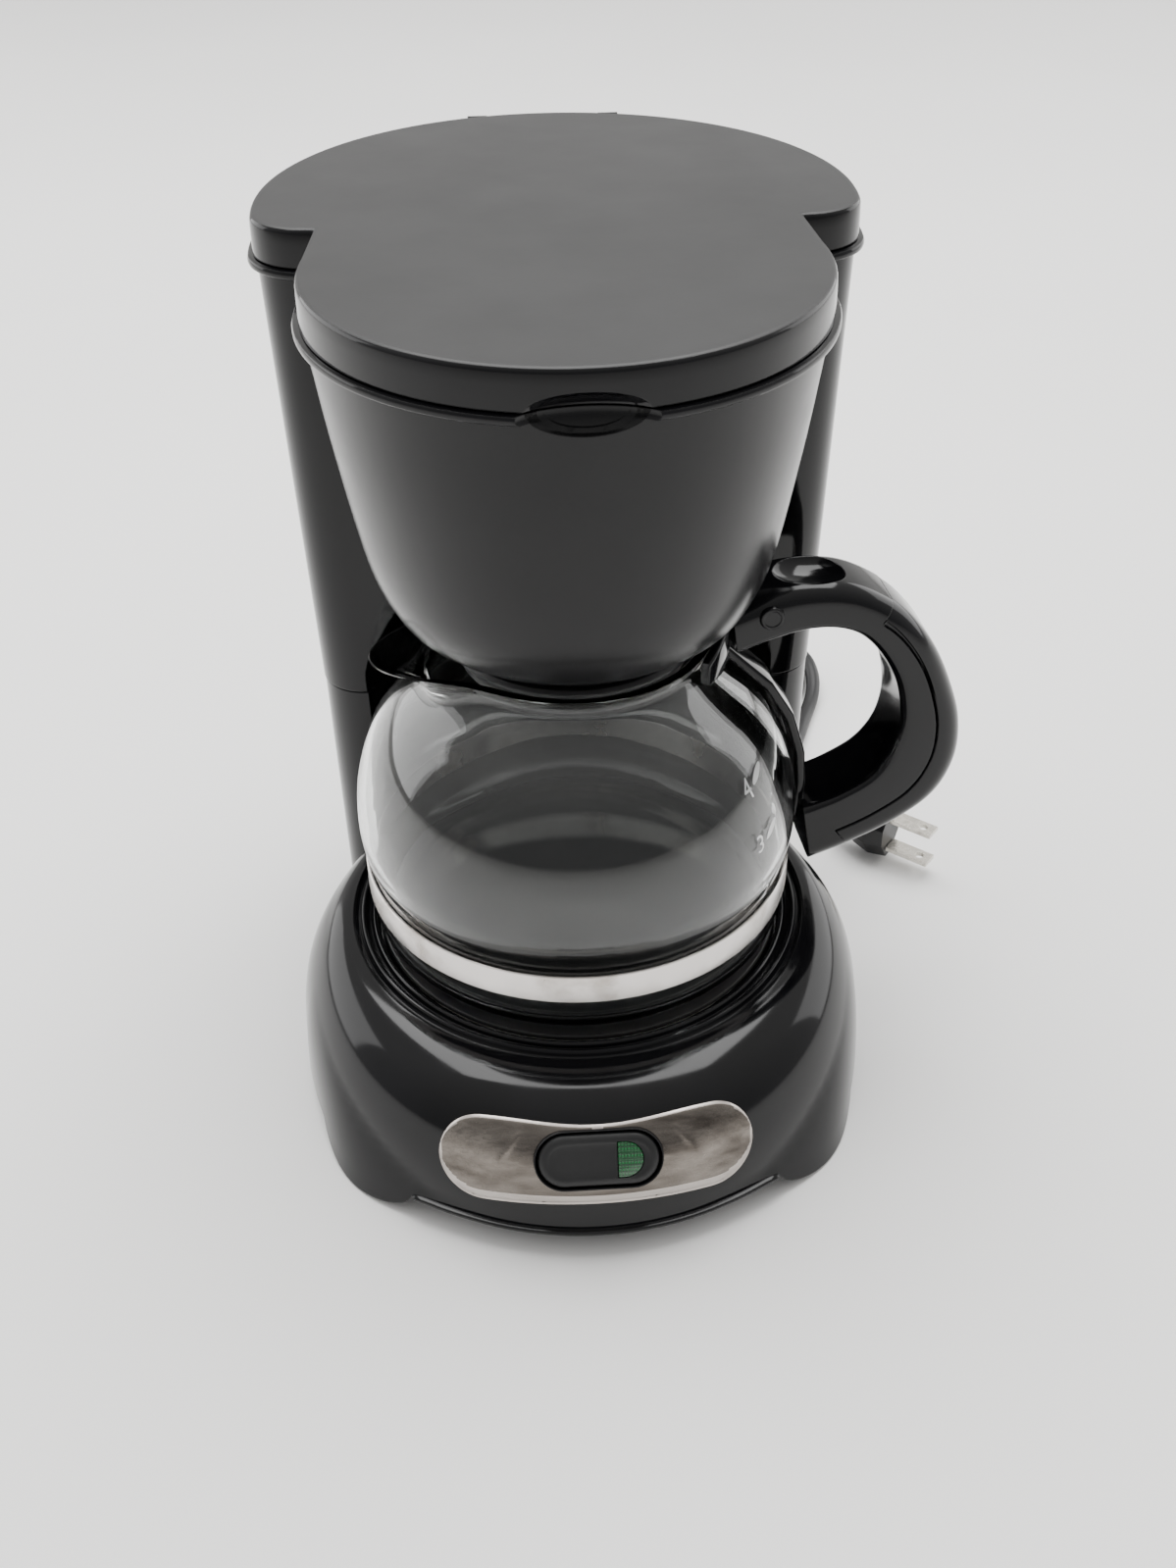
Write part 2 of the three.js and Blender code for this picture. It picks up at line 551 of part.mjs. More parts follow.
const coverRoom = slab(coverOutline, handleWidth + 8);
for (let i = 0; i < 8; i++) {
  frame = frame.subtract(coverRoom.translate([gap * Math.cos(i * 45 * DEG), 0, gap * Math.sin(i * 45 * DEG)]));
}
// strap down the side of the glass
const strapOut = glassProfile.slice(4, 11).map(([r, z]) => [r + 3.6, z + 0.6]);
const strapIn = glassProfile.slice(4, 11).map(([r, z]) => [r + 1.0, z + 0.4]).reverse();
frame = frame.add(slab([[67.6, 78], ...strapOut, [41.4, 143], [40.6, 143], ...strapIn, [65.2, 78]], 13));
frame = frame.subtract(disc(65.2, 55, 84));
frame = frame.subtract(box(30, 60, -6.6, 6.6, 143.6, 170));
const holder = ring(39.8, 43.2, 137.5, 151.4, 0, 0, 72);
const wedge = slab([[20, 130], [60, 130], [60, 160], [20, 160]], 44);
frame = frame.add(holder.intersect(wedge).subtract(box(30, 60, -6.6, 6.6, 143.6, 170)));
const crossPin = (r, half, x, z) => {
  const g = new THREE.CylinderGeometry(r, r, half * 2, 14);
  g.translate(x, 0, z);
  return toSolid(g);
};
frame = frame.subtract(crossPin(crossHoleR, 20, pinR, pinZ));
add("handle_frame", frame, "gloss_black", carafeTurn);
add("handle_cover", slab(coverOutline, handleWidth + 2), "gloss_black", carafeTurn);
const screw = new THREE.CylinderGeometry(2.6, 2.6, 1.6, 16);
screw.rotateZ(Math.PI / 2);
screw.translate(64.2, 0, 68.5);
add("handle_screw", screw, "polished_steel", carafeTurn);
add("carafe_lid_pin", crossPin(crossPinR, 10.6, pinR, pinZ), "nickel", carafeTurn);
let carafeLid = turned([[0, 143.2], [30, 143.2], [30, 139.5], [31.6, 139.5], [33.4, 143.2], [33.4, 145.6], [31, 147],
  [0, 147]], 36);
const thumbLever = [[44, 146], [56, 146], [58, 149.8], [55.4, 151.4], [47, 151.4], [44, 149]];
carafeLid = carafeLid.add(box(28, 57.5, -6, 6, 145.9, 148)).add(slab(thumbLever, 12));
carafeLid = carafeLid.subtract(crossPin(crossHoleR, 20, pinR, pinZ));
add("carafe_lid", carafeLid, "satin_black", carafeTurn);

// ---- cord, strain relief and plug ----
const bushing = new THREE.CylinderGeometry(5, 5, 9, 20);
bushing.translate(cordExitX, 122.5, cordExitZ);
const tail = new THREE.CylinderGeometry(3.0, 4.2, 15.5, 20);
tail.translate(cordExitX, 134.6, cordExitZ);
add("strain_relief", toSolid(bushing).add(toSolid(tail)), "rubber");
const machineEnd = [[34, 142.7, 16], [34, 146.5, 15.6], [33.8, 152.5, 13.4], [33.4, 160, 8.9], [32.6, 167, 4.6],
  [31.8, 173, 3], [31.3, 177, 3]];
add("cord_tube_machine_end", tube(machineEnd, cordR, 7, 8), "satin_black");
const coilHalf = coilTurns * cordR + 0.1;
add("cord_coil", ring(coilR - coilHalf, coilR + coilHalf, 0.1, 2 * cordR + 0.2, coilX, coilY, 40), "satin_black");
const plugEnd = [[102.9, 163, 3], [99, 153, 3], [94.4, 141, 3], [89.6, 128, 3], [85.6, 113, 3.4], [86.2, 101, 5.6],
  [90.6, 92, 9.2], [99.6, 83.5, 12.2]];
add("cord_tube_plug_end", tube(plugEnd, cordR, 12, 8), "satin_black");

// two-blade plug lying on its edge; t runs from the blade face back to the cord
const plugFace = [116, 69.5, 12.4];
const plugTurn = -40;
const plugFrame = new THREE.Matrix4().makeTranslation(...plugFace)
  .multiply(new THREE.Matrix4().makeRotationZ(plugTurn * DEG))
  .multiply(new THREE.Matrix4().makeRotationY(-90 * DEG));
const plugSection = (t, tall, thick) => {
  const flat = 0.3;
  const a = tall / 2;
  const b = thick / 2;
  const corners = [[1, -flat], [1, flat], [flat, 1], [-flat, 1], [-1, flat], [-1, -flat], [-flat, -1], [flat, -1]];
  return { z: t, points: corners.map(([u, v]) => [a * u, b * v]) };
};
const plugBody = loft([plugSection(0, 21, 13), plugSection(7, 23.6, 15.5), plugSection(13, 20, 13), plugSection(20, 8, 8)]);
add("plug_body", toGeometry(plugBody), "satin_black", plugFrame);
for (const [side, name] of [[-1, "lower"], [1, "upper"]]) {
  const blade = new THREE.BoxGeometry(1.5, 6.3, 16);
  blade.translate(side * 6.35, 0, -8.3);
  const hole = new THREE.CylinderGeometry(1.55, 1.55, 4, 12);
  hole.rotateZ(Math.PI / 2);
  hole.translate(side * 6.35, 0, -12.2);
  add(`plug_blade_${name}`, toGeometry(toSolid(blade).subtract(toSolid(hole))), "nickel", plugFrame);
}

machine.position.set(-centreX, -centreY, 0);
machine.updateMatrixWorld(true);
export default machine;
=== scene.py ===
"""The looks of a small drip coffee maker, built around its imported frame.

Shapes are drawn in millimetres, with the carafe's axis at x = 0, y = 0, the front toward -Y and +Z up.
at() turns such a point into a place in the frame, in metres.
"""
import json
import math

import bmesh
import bpy
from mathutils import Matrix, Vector


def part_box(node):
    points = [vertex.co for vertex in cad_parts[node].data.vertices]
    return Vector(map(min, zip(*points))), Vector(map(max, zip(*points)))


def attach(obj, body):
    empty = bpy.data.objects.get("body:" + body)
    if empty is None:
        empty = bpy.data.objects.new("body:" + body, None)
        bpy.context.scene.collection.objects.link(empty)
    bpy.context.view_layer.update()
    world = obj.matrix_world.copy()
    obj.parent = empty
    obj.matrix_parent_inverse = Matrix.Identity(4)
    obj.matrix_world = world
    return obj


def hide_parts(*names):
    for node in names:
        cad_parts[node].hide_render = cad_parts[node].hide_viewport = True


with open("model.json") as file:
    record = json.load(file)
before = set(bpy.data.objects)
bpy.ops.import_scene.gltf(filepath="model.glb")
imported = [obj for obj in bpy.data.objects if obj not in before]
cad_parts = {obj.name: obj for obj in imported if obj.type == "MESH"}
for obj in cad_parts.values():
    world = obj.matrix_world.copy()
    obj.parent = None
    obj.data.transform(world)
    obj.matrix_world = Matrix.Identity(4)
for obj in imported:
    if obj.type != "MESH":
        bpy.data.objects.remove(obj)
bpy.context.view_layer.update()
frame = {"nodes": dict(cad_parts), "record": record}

# ---- driving dimensions, in millimetres ----
MM = 0.001
WALL = 2.5                      # moulded wall
LID_TOP = 246.5
LID_THICK = 10.0
RIM_TOP = LID_TOP - LID_THICK - 0.4
HEAD_R = 65.0                   # front lobe of the lid, over the brew head
HEAD_Y = 2.0
LOBE_R = 80.5                   # rear lobe of the lid, over the tower
LOBE_Y = 53.0
CORNER = 16.0
TOWER_FRONT = 31.0
SPLIT_Z = 106.0                 # joint between the lower tower and the upper housing
HEAD_FLOOR = 152.0
BAY_R = 69.5                    # hollow of the tower's front, round the carafe
BASE_TOP = 48.0
SKIRT_R = 85.5
SKIRT_TOP_R = 69.8
SKIRT_Y = -11.0
PLATE_R = 60.5
PLATE_TOP = 48.2
APRON_Z = 8.0                   # lower edge of the skirt between its feet
FOOT_ANGLE = 39.0               # front feet, degrees below the x axis
GLASS_BOTTOM = 48.8
RIM_Z = 145.5
SPOUT_ANGLE = 193.0
HANDLE_ANGLE = 5.0
HANDLE_HALF = 11.6
PANEL_Y = -87.2                 # middle of the control panel
PANEL_Z = 30.5
PANEL_TILT = 29.0               # its lean back from the vertical, degrees
ROCKER_LONG = 33.0
ROCKER_TALL = 14.6
LENS_LEFT = 5.2
LENS_HALF = 5.0
STEEL_HALF = 43.6               # half the length of the steel plate
HINGE_Y = 139.5
HINGE_Z = 241.0
CORD_R = 2.8

plate_low, plate_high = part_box("warming_plate")
AXIS = (plate_low + plate_high) / 2


def at(x, y, z):
    """A point in millimetres from the carafe's axis, as a place in the frame."""
    return Vector((AXIS.x + x * MM, AXIS.y + y * MM, z * MM))


# ---- camera ----
def make_camera():
    data = bpy.data.cameras.new("camera")
    data.sensor_fit = "VERTICAL"
    data.sensor_width = 36
    data.sensor_height = 36
    data.lens = 38.27
    camera = bpy.data.objects.new("camera", data)
    camera.location = at(-18.36, -392.93, 384.92)
    camera.rotation_euler = [math.radians(a) for a in (53.284, 0.604, -3.638)]
    bpy.context.collection.objects.link(camera)
    bpy.context.scene.camera = camera


make_camera()


# ---- shapes: each is (points, faces) ----
def arc(cx, cy, radius, start, end, steps):
    """Points along a round stretch, angles in degrees."""
    points = []
    for i in range(steps + 1):
        a = math.radians(start + (end - start) * i / steps)
        points.append((cx + radius * math.cos(a), cy + radius * math.sin(a)))
    return points


def spline(points, steps):
    """A smooth run of places through given points, steps to each stretch."""
    run = []
    last = len(points) - 1
    for i in range(last):
        p0 = Vector(points[max(i - 1, 0)])
        p1 = Vector(points[i])
        p2 = Vector(points[i + 1])
        p3 = Vector(points[min(i + 2, last)])
        for k in range(steps):
            t = k / steps
            run.append(0.5 * (2 * p1 + (p2 - p0) * t + (2 * p0 - 5 * p1 + 4 * p2 - p3) * t * t
                              + (3 * p1 - p0 - 3 * p2 + p3) * t ** 3))
    run.append(Vector(points[last]))
    return run


def mirrored(half):
    """A whole outline from its right half, drawn from front to back."""
    return half + [(-x, y) for x, y in reversed(half) if x > 1e-6]


def skin(rings, closed=False, caps=True):
    """Faces through rings of equal count. closed joins the last ring to the first."""
    count = len(rings[0])
    points = [tuple(p) for ring in rings for p in ring]
    faces = []
    for k in range(len(rings) if closed else len(rings) - 1):
        low = k * count
        high = (k + 1) % len(rings) * count
        for i in range(count):
            j = (i + 1) % count
            faces.append((low + i, low + j, high + j, high + i))
    if caps and not closed:
        faces.append(tuple(range(count - 1, -1, -1)))
        faces.append(tuple(range(len(points) - count, len(points))))
    return points, faces


def turned(profile, segments=96, centre=(0, 0), closed=True):
    """A profile of (radius, height) turned about a vertical line."""
    rings = []
    for radius, z in profile:
        ring = arc(centre[0], centre[1], radius, 0, 360, segments)[:-1]
        rings.append([(x, y, z) for x, y in ring])
    return skin(rings, closed=closed, caps=False)


def stacked(sections, closed=False):
    """Flat outlines laid one above another, each (outline, height)."""
    return skin([[(x, y, z) for x, y in outline] for outline, z in sections], closed=closed)


def together(*shapes):
    points = []
    faces = []
    for shape_points, shape_faces in shapes:
        start = len(points)
        points += shape_points
        faces += [tuple(i + start for i in face) for face in shape_faces]
    return points, faces


def moved(shape, change):
    """The shape with each of its points put through change(x, y, z)."""
    return [change(*p) for p in shape[0]], shape[1]


def mesh_of(name, shape, place):
    mesh = bpy.data.meshes.new(name)
    mesh.from_pydata([place(*p) for p in shape[0]], [], shape[1])
    work = bmesh.new()
    work.from_mesh(mesh)
    reach = 1e-6 if place is at else 1e-3
    bmesh.ops.remove_doubles(work, verts=work.verts, dist=reach)
    bmesh.ops.dissolve_degenerate(work, dist=reach / 10, edges=work.edges)
    bmesh.ops.recalc_face_normals(work, faces=work.faces)
    work.to_mesh(mesh)
    work.free()
    return mesh


def carved(shape, tool, operation="DIFFERENCE"):
    """The shape after a boolean with the tool."""
    objects = []
    for name, part in (("work", shape), ("tool", tool)):
        obj = bpy.data.objects.new(name, mesh_of(name, part, lambda x, y, z: Vector((x, y, z))))
        bpy.context.collection.objects.link(obj)
        objects.append(obj)
    cut = objects[0].modifiers.new("cut", "BOOLEAN")
    cut.object = objects[1]
    cut.operation = operation
    cut.solver = "MANIFOLD"
    graph = bpy.context.evaluated_depsgraph_get()
    result = bpy.data.meshes.new_from_object(objects[0].evaluated_get(graph))
    made = ([tuple(v.co) for v in result.vertices], [tuple(f.vertices) for f in result.polygons])
    for obj in objects:
        bpy.data.objects.remove(obj)
    bpy.data.meshes.remove(result)
    return made


def piece(name, shape, finish, body, stands_for=(), sharp=32):
    """A shown piece that rides on a body and stands for CAD nodes."""
    mesh = mesh_of(name, shape, at)
    mesh.shade_smooth()
    mesh.set_sharp_from_angle(angle=math.radians(sharp))
    mesh.materials.append(finish)
    obj = bpy.data.objects.new(name, mesh)
    bpy.context.collection.objects.link(obj)
    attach(obj, body)
    if stands_for:
        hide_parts(*stands_for)
    return obj


# ---- finishes ----
def material(name, color, roughness, metallic=0.0, **settings):
    """A Principled material; settings name its other sockets."""
    made = bpy.data.materials.new(name)
    made.use_nodes = True
    shader = made.node_tree.nodes["Principled BSDF"]
    shader.inputs["Base Color"].default_value = (*color, 1)
    shader.inputs["Roughness"].default_value = roughness
    shader.inputs["Metallic"].default_value = metallic
    for socket, value in settings.items():
        shader.inputs[socket.replace("_", " ")].default_value = value
    return made


def noise_of(made, scale, detail=4.0, stretch=(1, 1, 1)):
    """A noise texture fixed to the piece, its scale in cells to a metre."""
    nodes = made.node_tree.nodes
    links = made.node_tree.links
    place = nodes.new("ShaderNodeTexCoord")
    mapping = nodes.new("ShaderNodeMapping")
    mapping.inputs["Scale"].default_value = stretch
    texture = nodes.new("ShaderNodeTexNoise")
    texture.inputs["Scale"].default_value = scale
    texture.inputs["Detail"].default_value = detail
    links.new(place.outputs["Object"], mapping.inputs["Vector"])
    links.new(mapping.outputs["Vector"], texture.inputs["Vector"])
    return texture.outputs["Fac"]


def ranged(made, source, low, high, start=0.3, end=0.7):
    """The source, from start to end, spread over low to high."""
    node = made.node_tree.nodes.new("ShaderNodeMapRange")
    node.inputs["From Min"].default_value = start
    node.inputs["From Max"].default_value = end
    node.inputs["To Min"].default_value = low
    node.inputs["To Max"].default_value = high
    made.node_tree.links.new(source, node.inputs["Value"])
    return node.outputs["Result"]


def blended(made, source, first, second, start=0.35, end=0.65):
    """A colour between first and second, as the source goes from start to end."""
    ramp = made.node_tree.nodes.new("ShaderNodeValToRGB")
    ramp.color_ramp.elements[0].position = start
    ramp.color_ramp.elements[0].color = (*first, 1)
    ramp.color_ramp.elements[1].position = end
    ramp.color_ramp.elements[1].color = (*second, 1)
    made.node_tree.links.new(source, ramp.inputs["Fac"])
    return ramp.outputs["Color"]


def feed(made, socket, source):
    shader = made.node_tree.nodes["Principled BSDF"]
    made.node_tree.links.new(source, shader.inputs[socket])


def relief(made, height, depth, edge=0.0):
    """Bump of this depth in millimetres, on edges rounded by edge millimetres."""
    bump = made.node_tree.nodes.new("ShaderNodeBump")
    bump.inputs["Strength"].default_value = 1.0
    bump.inputs["Distance"].default_value = depth * MM
    made.node_tree.links.new(height, bump.inputs["Height"])
    if edge:
        bevel = made.node_tree.nodes.new("ShaderNodeBevel")
        bevel.samples = 4
        bevel.inputs["Radius"].default_value = edge * MM
        made.node_tree.links.new(bevel.outputs["Normal"], bump.inputs["Normal"])
    feed(made, "Normal", bump.outputs["Normal"])


def plastic(name, dark, light, rough, grain, depth, edge=0.45, shine=0.5):
    """Moulded plastic: two close tones, roughness that wanders between two values, and a fine grain."""
    made = material(name, dark, rough[0], Specular_IOR_Level=shine)
    clouds = noise_of(made, 38, 6)
    feed(made, "Base Color", blended(made, clouds, dark, light))
    feed(made, "Roughness", ranged(made, noise_of(made, 70, 8), *rough))
    relief(made, noise_of(made, grain, 3), depth, edge)
    return made


def brushed(name, dark, light, rough):
    """Steel brushed across, along x."""
    made = material(name, dark, rough[0], 1.0, Anisotropic=0.6)
    lines = noise_of(made, 900, 3, (0.02, 1.4, 1.4))
    bands = noise_of(made, 130, 4, (0.12, 1.6, 1.6))
    feed(made, "Base Color", blended(made, bands, dark, light, 0.3, 0.7))
    feed(made, "Roughness", ranged(made, lines, *rough))
    relief(made, lines, 0.006)
    return made


def metal(name, dark, light, rough, spots=60):
    """Bare metal with faint cloudy marks."""
    made = material(name, light, rough[0], 1.0)
    marks = noise_of(made, spots, 7)
    feed(made, "Base Color", blended(made, marks, dark, light, 0.28, 0.45))
    feed(made, "Roughness", ranged(made, marks, rough[1], rough[0]))
    relief(made, noise_of(made, 900, 3), 0.004, 0.25)
    return made


def glass():
    made = material("clear_glass", (0.97, 0.985, 0.98), 0.0, IOR=1.47, Transmission_Weight=1.0)
    feed(made, "Roughness", ranged(made, noise_of(made, 45, 8), 0.0, 0.05, 0.5, 0.8))
    relief(made, noise_of(made, 25, 2), 0.05)
    return made


def lens_green():
    """Clear green plastic with a moulded grid."""
    made = material("green_lens", (0.01, 0.16, 0.04), 0.22, Transmission_Weight=0.25, Coat_Weight=0.6)
    nodes = made.node_tree.nodes
    place = nodes.new("ShaderNodeTexCoord")
    cells = nodes.new("ShaderNodeTexVoronoi")
    cells.distance = "CHEBYCHEV"
    cells.inputs["Scale"].default_value = 1150
    cells.inputs["Randomness"].default_value = 0.0
    made.node_tree.links.new(place.outputs["Object"], cells.inputs["Vector"])
    tone = blended(made, cells.outputs["Distance"], (0.006, 0.19, 0.045), (0.002, 0.045, 0.012), 0.15, 0.5)
    feed(made, "Base Color", tone)
    relief(made, cells.outputs["Distance"], 0.25)
    return made


GLOSS = plastic("gloss_black", (0.0025, 0.0025, 0.003), (0.004, 0.004, 0.005), (0.07, 0.14), 900, 0.002,
                shine=0.3)
HEAD = plastic("semi_gloss_black", (0.004, 0.004, 0.0045), (0.006, 0.006, 0.0065), (0.2, 0.27), 1400, 0.002,
               shine=0.26)
SATIN = plastic("satin_black", (0.006, 0.006, 0.0065), (0.01, 0.01, 0.011), (0.34, 0.46), 1600, 0.01,
                shine=0.35)
MATTE = plastic("matte_charcoal", (0.012, 0.012, 0.0125), (0.017, 0.017, 0.0175), (0.42, 0.455), 1800, 0.012,
                shine=0.36)
GREY = plastic("grey_plastic", (0.07, 0.072, 0.075), (0.1, 0.102, 0.105), (0.35, 0.5), 1500, 0.015)
RUBBER = plastic("rubber", (0.01, 0.01, 0.01), (0.02, 0.02, 0.02), (0.6, 0.8), 1500, 0.03)
SILICONE = plastic("silicone", (0.55, 0.55, 0.52), (0.62, 0.62, 0.6), (0.4, 0.55), 1200, 0.01)
COATING = plastic("dark_coating", (0.012, 0.012, 0.013), (0.024, 0.023, 0.022), (0.28, 0.45), 2200, 0.015)
BRUSHED = brushed("brushed_steel", (0.09, 0.078, 0.068), (0.25, 0.225, 0.2), (0.2, 0.34))
# a lighter copy of the brushed steel for the plate's rolled edges and lower bevel: a painted highlight where
# these edges catch the light
STEEL_EDGE_PAINTED_HIGHLIGHT = brushed("brushed_edge_painted_highlight", (0.46, 0.42, 0.39), (0.6, 0.55, 0.51), (0.26, 0.36))
POLISHED = metal("polished_steel", (0.5, 0.45, 0.4), (0.84, 0.8, 0.77), (0.1, 0.3))
NICKEL = metal("nickel", (0.4, 0.37, 0.32), (0.66, 0.63, 0.57), (0.2, 0.35), 200)
BRASS = metal("brass", (0.45, 0.3, 0.1), (0.7, 0.5, 0.2), (0.22, 0.35), 200)
ALUMINIUM = metal("aluminium", (0.4, 0.41, 0.42), (0.66, 0.67, 0.68), (0.3, 0.45), 150)
GLASS = glass()
LENS = lens_green()
INK = plastic("printed_marks", (0.72, 0.72, 0.72), (0.8, 0.8, 0.8), (0.4, 0.5), 1500, 0.01, 0)

CAD_FINISHES = {
    "gloss_black": GLOSS, "satin_black": SATIN, "matte_charcoal": MATTE, "grey_plastic": GREY,
    "clear_glass": GLASS, "polished_steel": POLISHED, "brushed_steel": BRUSHED, "dark_coating": COATING,
    "aluminium": ALUMINIUM, "rubber": RUBBER, "silicone": SILICONE, "green_lens": LENS, "brass": BRASS,
    "nickel": NICKEL,
}


def finish_cad_nodes():
    """Every CAD node gets the full finish of its own slot."""
    for row in frame["record"]["subparts"]:
        for slot in frame["nodes"][row["node"]].material_slots:
            slot.material = CAD_FINISHES[row["material_slot"]]


finish_cad_nodes()


# ---- cord: out of the back, down to the table, a flat coil, then round to the plug ----
MACHINE_END = [(34, 142.7, 16), (34, 146.5, 15.6), (33.8, 152.5, 13.4), (33.4, 160, 8.9), (32.6, 167, 4.6),
               (31.8, 173, 3), (31.3, 177, 3)]
PLUG_END = [(99.5, 155, 3), (94.4, 141, 3), (89.6, 128, 3), (85.6, 113, 3.4), (86.2, 101, 5.6),
            (90.6, 92, 9.2), (99.6, 83.5, 12.2)]
COIL_X = 71
COIL_Y = 190
COIL_OUT = 36.0                 # radius of the coil's outer turn
COIL_PITCH = 5.75               # from turn to turn
COIL_SWEEP = 800                # degrees wound inward
COIL_LEAVE = 41.5               # radius where the lead leaves the coil
LEAVE_SWEEP = 140               # degrees it takes to get there


def coil_route():
    """Inward from the outer turn's left side, then in a long low hump over the turns to the right side."""
    route = []
    steps = 36
    lie = CORD_R + 0.1
    for i in range(steps + 1):
        sweep = COIL_SWEEP * i / steps
        radius = COIL_OUT - COIL_PITCH * sweep / 360
        a = math.radians(180 - sweep)
        route.append((COIL_X + radius * math.cos(a), COIL_Y + radius * math.sin(a), lie))
    inner = COIL_OUT - COIL_PITCH * COIL_SWEEP / 360
    out = 12
    for i in range(1, out + 1):
        share = i / out
        rise = min(1.0, 2.6 * share, 3.2 * (1 - share) + 0.05)
        radius = inner + (COIL_LEAVE - inner) * share ** 1.15
        a = math.radians(180 - COIL_SWEEP - LEAVE_SWEEP * share)
        route.append((COIL_X + radius * math.cos(a), COIL_Y + radius * math.sin(a),
                      lie + 2 * CORD_R * rise * rise * (3 - 2 * rise)))
    return route


def make_cord():
    route = MACHINE_END + coil_route() + PLUG_END
    curve = bpy.data.curves.new("power_cord", "CURVE")
    curve.dimensions = "3D"
    curve.bevel_depth = CORD_R * MM
    curve.bevel_resolution = 6
    line = curve.splines.new("NURBS")
    line.points.add(len(route) - 1)
    for point, place in zip(line.points, route):
        point.co = (*at(*place), 1)
    line.order_u = 4
    line.use_endpoint_u = True
    line.resolution_u = 6
    cord = bpy.data.objects.new("power_cord", curve)
    bpy.context.collection.objects.link(cord)
    curve.materials.append(SATIN)
    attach(cord, "machine")
    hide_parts("cord_tube_machine_end", "cord_coil", "cord_tube_plug_end")
    return cord


cord = make_cord()


# ---- top lid ----
def lid_outline(grow):
    """Outline of the lid, grown outward: front lobe, notch, rounded corner and rear lobe."""
    corner_y = TOWER_FRONT + CORNER
    corner_x = math.sqrt((LOBE_R - CORNER) ** 2 - (LOBE_Y - corner_y) ** 2)
    tangent = math.degrees(math.atan2(corner_y - LOBE_Y, corner_x))
    return mirrored(
        arc(0, HEAD_Y, HEAD_R + grow, -90, 8, 40)
        + [(HEAD_R - 2.2 + grow, TOWER_FRONT - grow)]
        + arc(corner_x, corner_y, CORNER + grow, -90, tangent, 14)
        + arc(0, LOBE_Y, LOBE_R + grow, tangent, 90, 36)[1:]
    )


NOTCH_X = 1.5
NOTCH_Z = 235.6
NOTCH_HALF = (18.5, 9.6, 6.4)
NOTCH_Y = HEAD_Y - HEAD_R - 4.6


def notch_tool():
    """Flat egg that hollows the finger notch out of the lid's edge and the rim."""
    rings = []
    for i in range(1, 24):
        a = math.pi * i / 24
        z = NOTCH_Z - NOTCH_HALF[2] * math.cos(a)
        rings.append([(NOTCH_X + NOTCH_HALF[0] * x, NOTCH_Y + NOTCH_HALF[1] * y, z)
                      for x, y in arc(0, 0, math.sin(a), 0, 360, 64)[:-1]])
    return skin(rings)


def notch_pocket(low, high, front_radius):
    """The hollow's own wall, between two heights, behind a round front; front_radius(z) is its radius."""
    across = 48
    up = 10
    front = []
    back = []
    for k in range(up + 1):
        z = low + (high - low) * k / up
        row_front = []
        row_back = []
        for i in range(across + 1):
            x = NOTCH_X + NOTCH_HALF[0] * (2 * i / across - 1)
            left = 1 - ((x - NOTCH_X) / NOTCH_HALF[0]) ** 2 - ((z - NOTCH_Z) / NOTCH_HALF[2]) ** 2
            skin_y = HEAD_Y - math.sqrt(front_radius(z) ** 2 - x ** 2) + 0.4
            y = max(skin_y, NOTCH_Y + NOTCH_HALF[1] * math.sqrt(max(left, 0)))
            row_front.append((x, y, z))
            row_back.append((x, y + 1.0, z))
        front.append(row_front)
        back.append(row_back)
    return skin([f + list(reversed(b)) for f, b in zip(front, back)])


KNUCKLE_X = 13.2
KNUCKLE_R = 3.0
ARM_Y = 131.8                   # where a knuckle's arm meets the lid's edge


def knuckle(x, half):
    """A round eye on the hinge pin, with a short arm back to the lid's edge."""
    outline = arc(HINGE_Y, HINGE_Z, KNUCKLE_R, -140, 60, 20)
    outline += [(ARM_Y, HINGE_Z + 2.6), (ARM_Y, HINGE_Z - 1.6)]
    return skin([[(x + side * half, y, z) for y, z in outline] for side in (-1, 1)])


def make_lid():
    skirt = [(-2.2, LID_TOP - 2.2), (-2.2, RIM_TOP + 0.4), (0, RIM_TOP + 0.4), (0, RIM_TOP + 3),
             (-0.05, LID_TOP - 4), (-0.2, LID_TOP - 1.3), (-0.35, LID_TOP - 0.75), (-0.7, LID_TOP - 0.3),
             (-1.2, LID_TOP - 0.06), (-1.9, LID_TOP)]
    shell = stacked([(lid_outline(grow), z) for grow, z in skirt])
    shell = carved(shell, notch_tool())
    pocket = notch_pocket(RIM_TOP + 0.42, NOTCH_Z + NOTCH_HALF[2] - 0.1, lambda z: HEAD_R)
    knuckles = together(*[knuckle(side * KNUCKLE_X, 3.5) for side in (-1, 1)])
    lid = piece("lid_shell", together(shell, pocket, knuckles), MATTE, "lid", ["top_lid"])
    lid.data.materials.append(GLOSS)
    for face in lid.data.polygons:
        if face.center.z < (LID_TOP - 0.4) * MM:
            face.material_index = 1


make_lid()


# ---- upper housing: funnel, rim and tower ----
HEAD_PROFILE = [(38, 152), (41.6, 152.6), (44.5, 154.4), (49, 159.5), (54.3, 173), (59.8, 203), (63.1, 226),
                (64.6, RIM_TOP)]
HEAD_INSIDE = [(62.1, RIM_TOP), (61, 226), (57.5, 203.5), (52, 174), (46.8, 161.4), (42.6, 156.8),
               (37, 154.5)]
RIM_STEPS = [(-2.2, 233.7), (0.9, 233.7), (1.45, 234.1), (1.6, 234.6), (1.6, 235.3), (1.3, 235.9),
             (0.8, RIM_TOP), (-2.2, RIM_TOP)]


TOWER_CORNER = 13.5
TOWER_FACE = TOWER_FRONT + 1.4  # the tower's front, a little behind the lid's notch
NECK_START = 110                # height where the bay starts to narrow
NECK_RISE = 34
NECK_IN = 12                    # how much narrower it is at the top
EAR_X = 20
EAR_R = 3.1


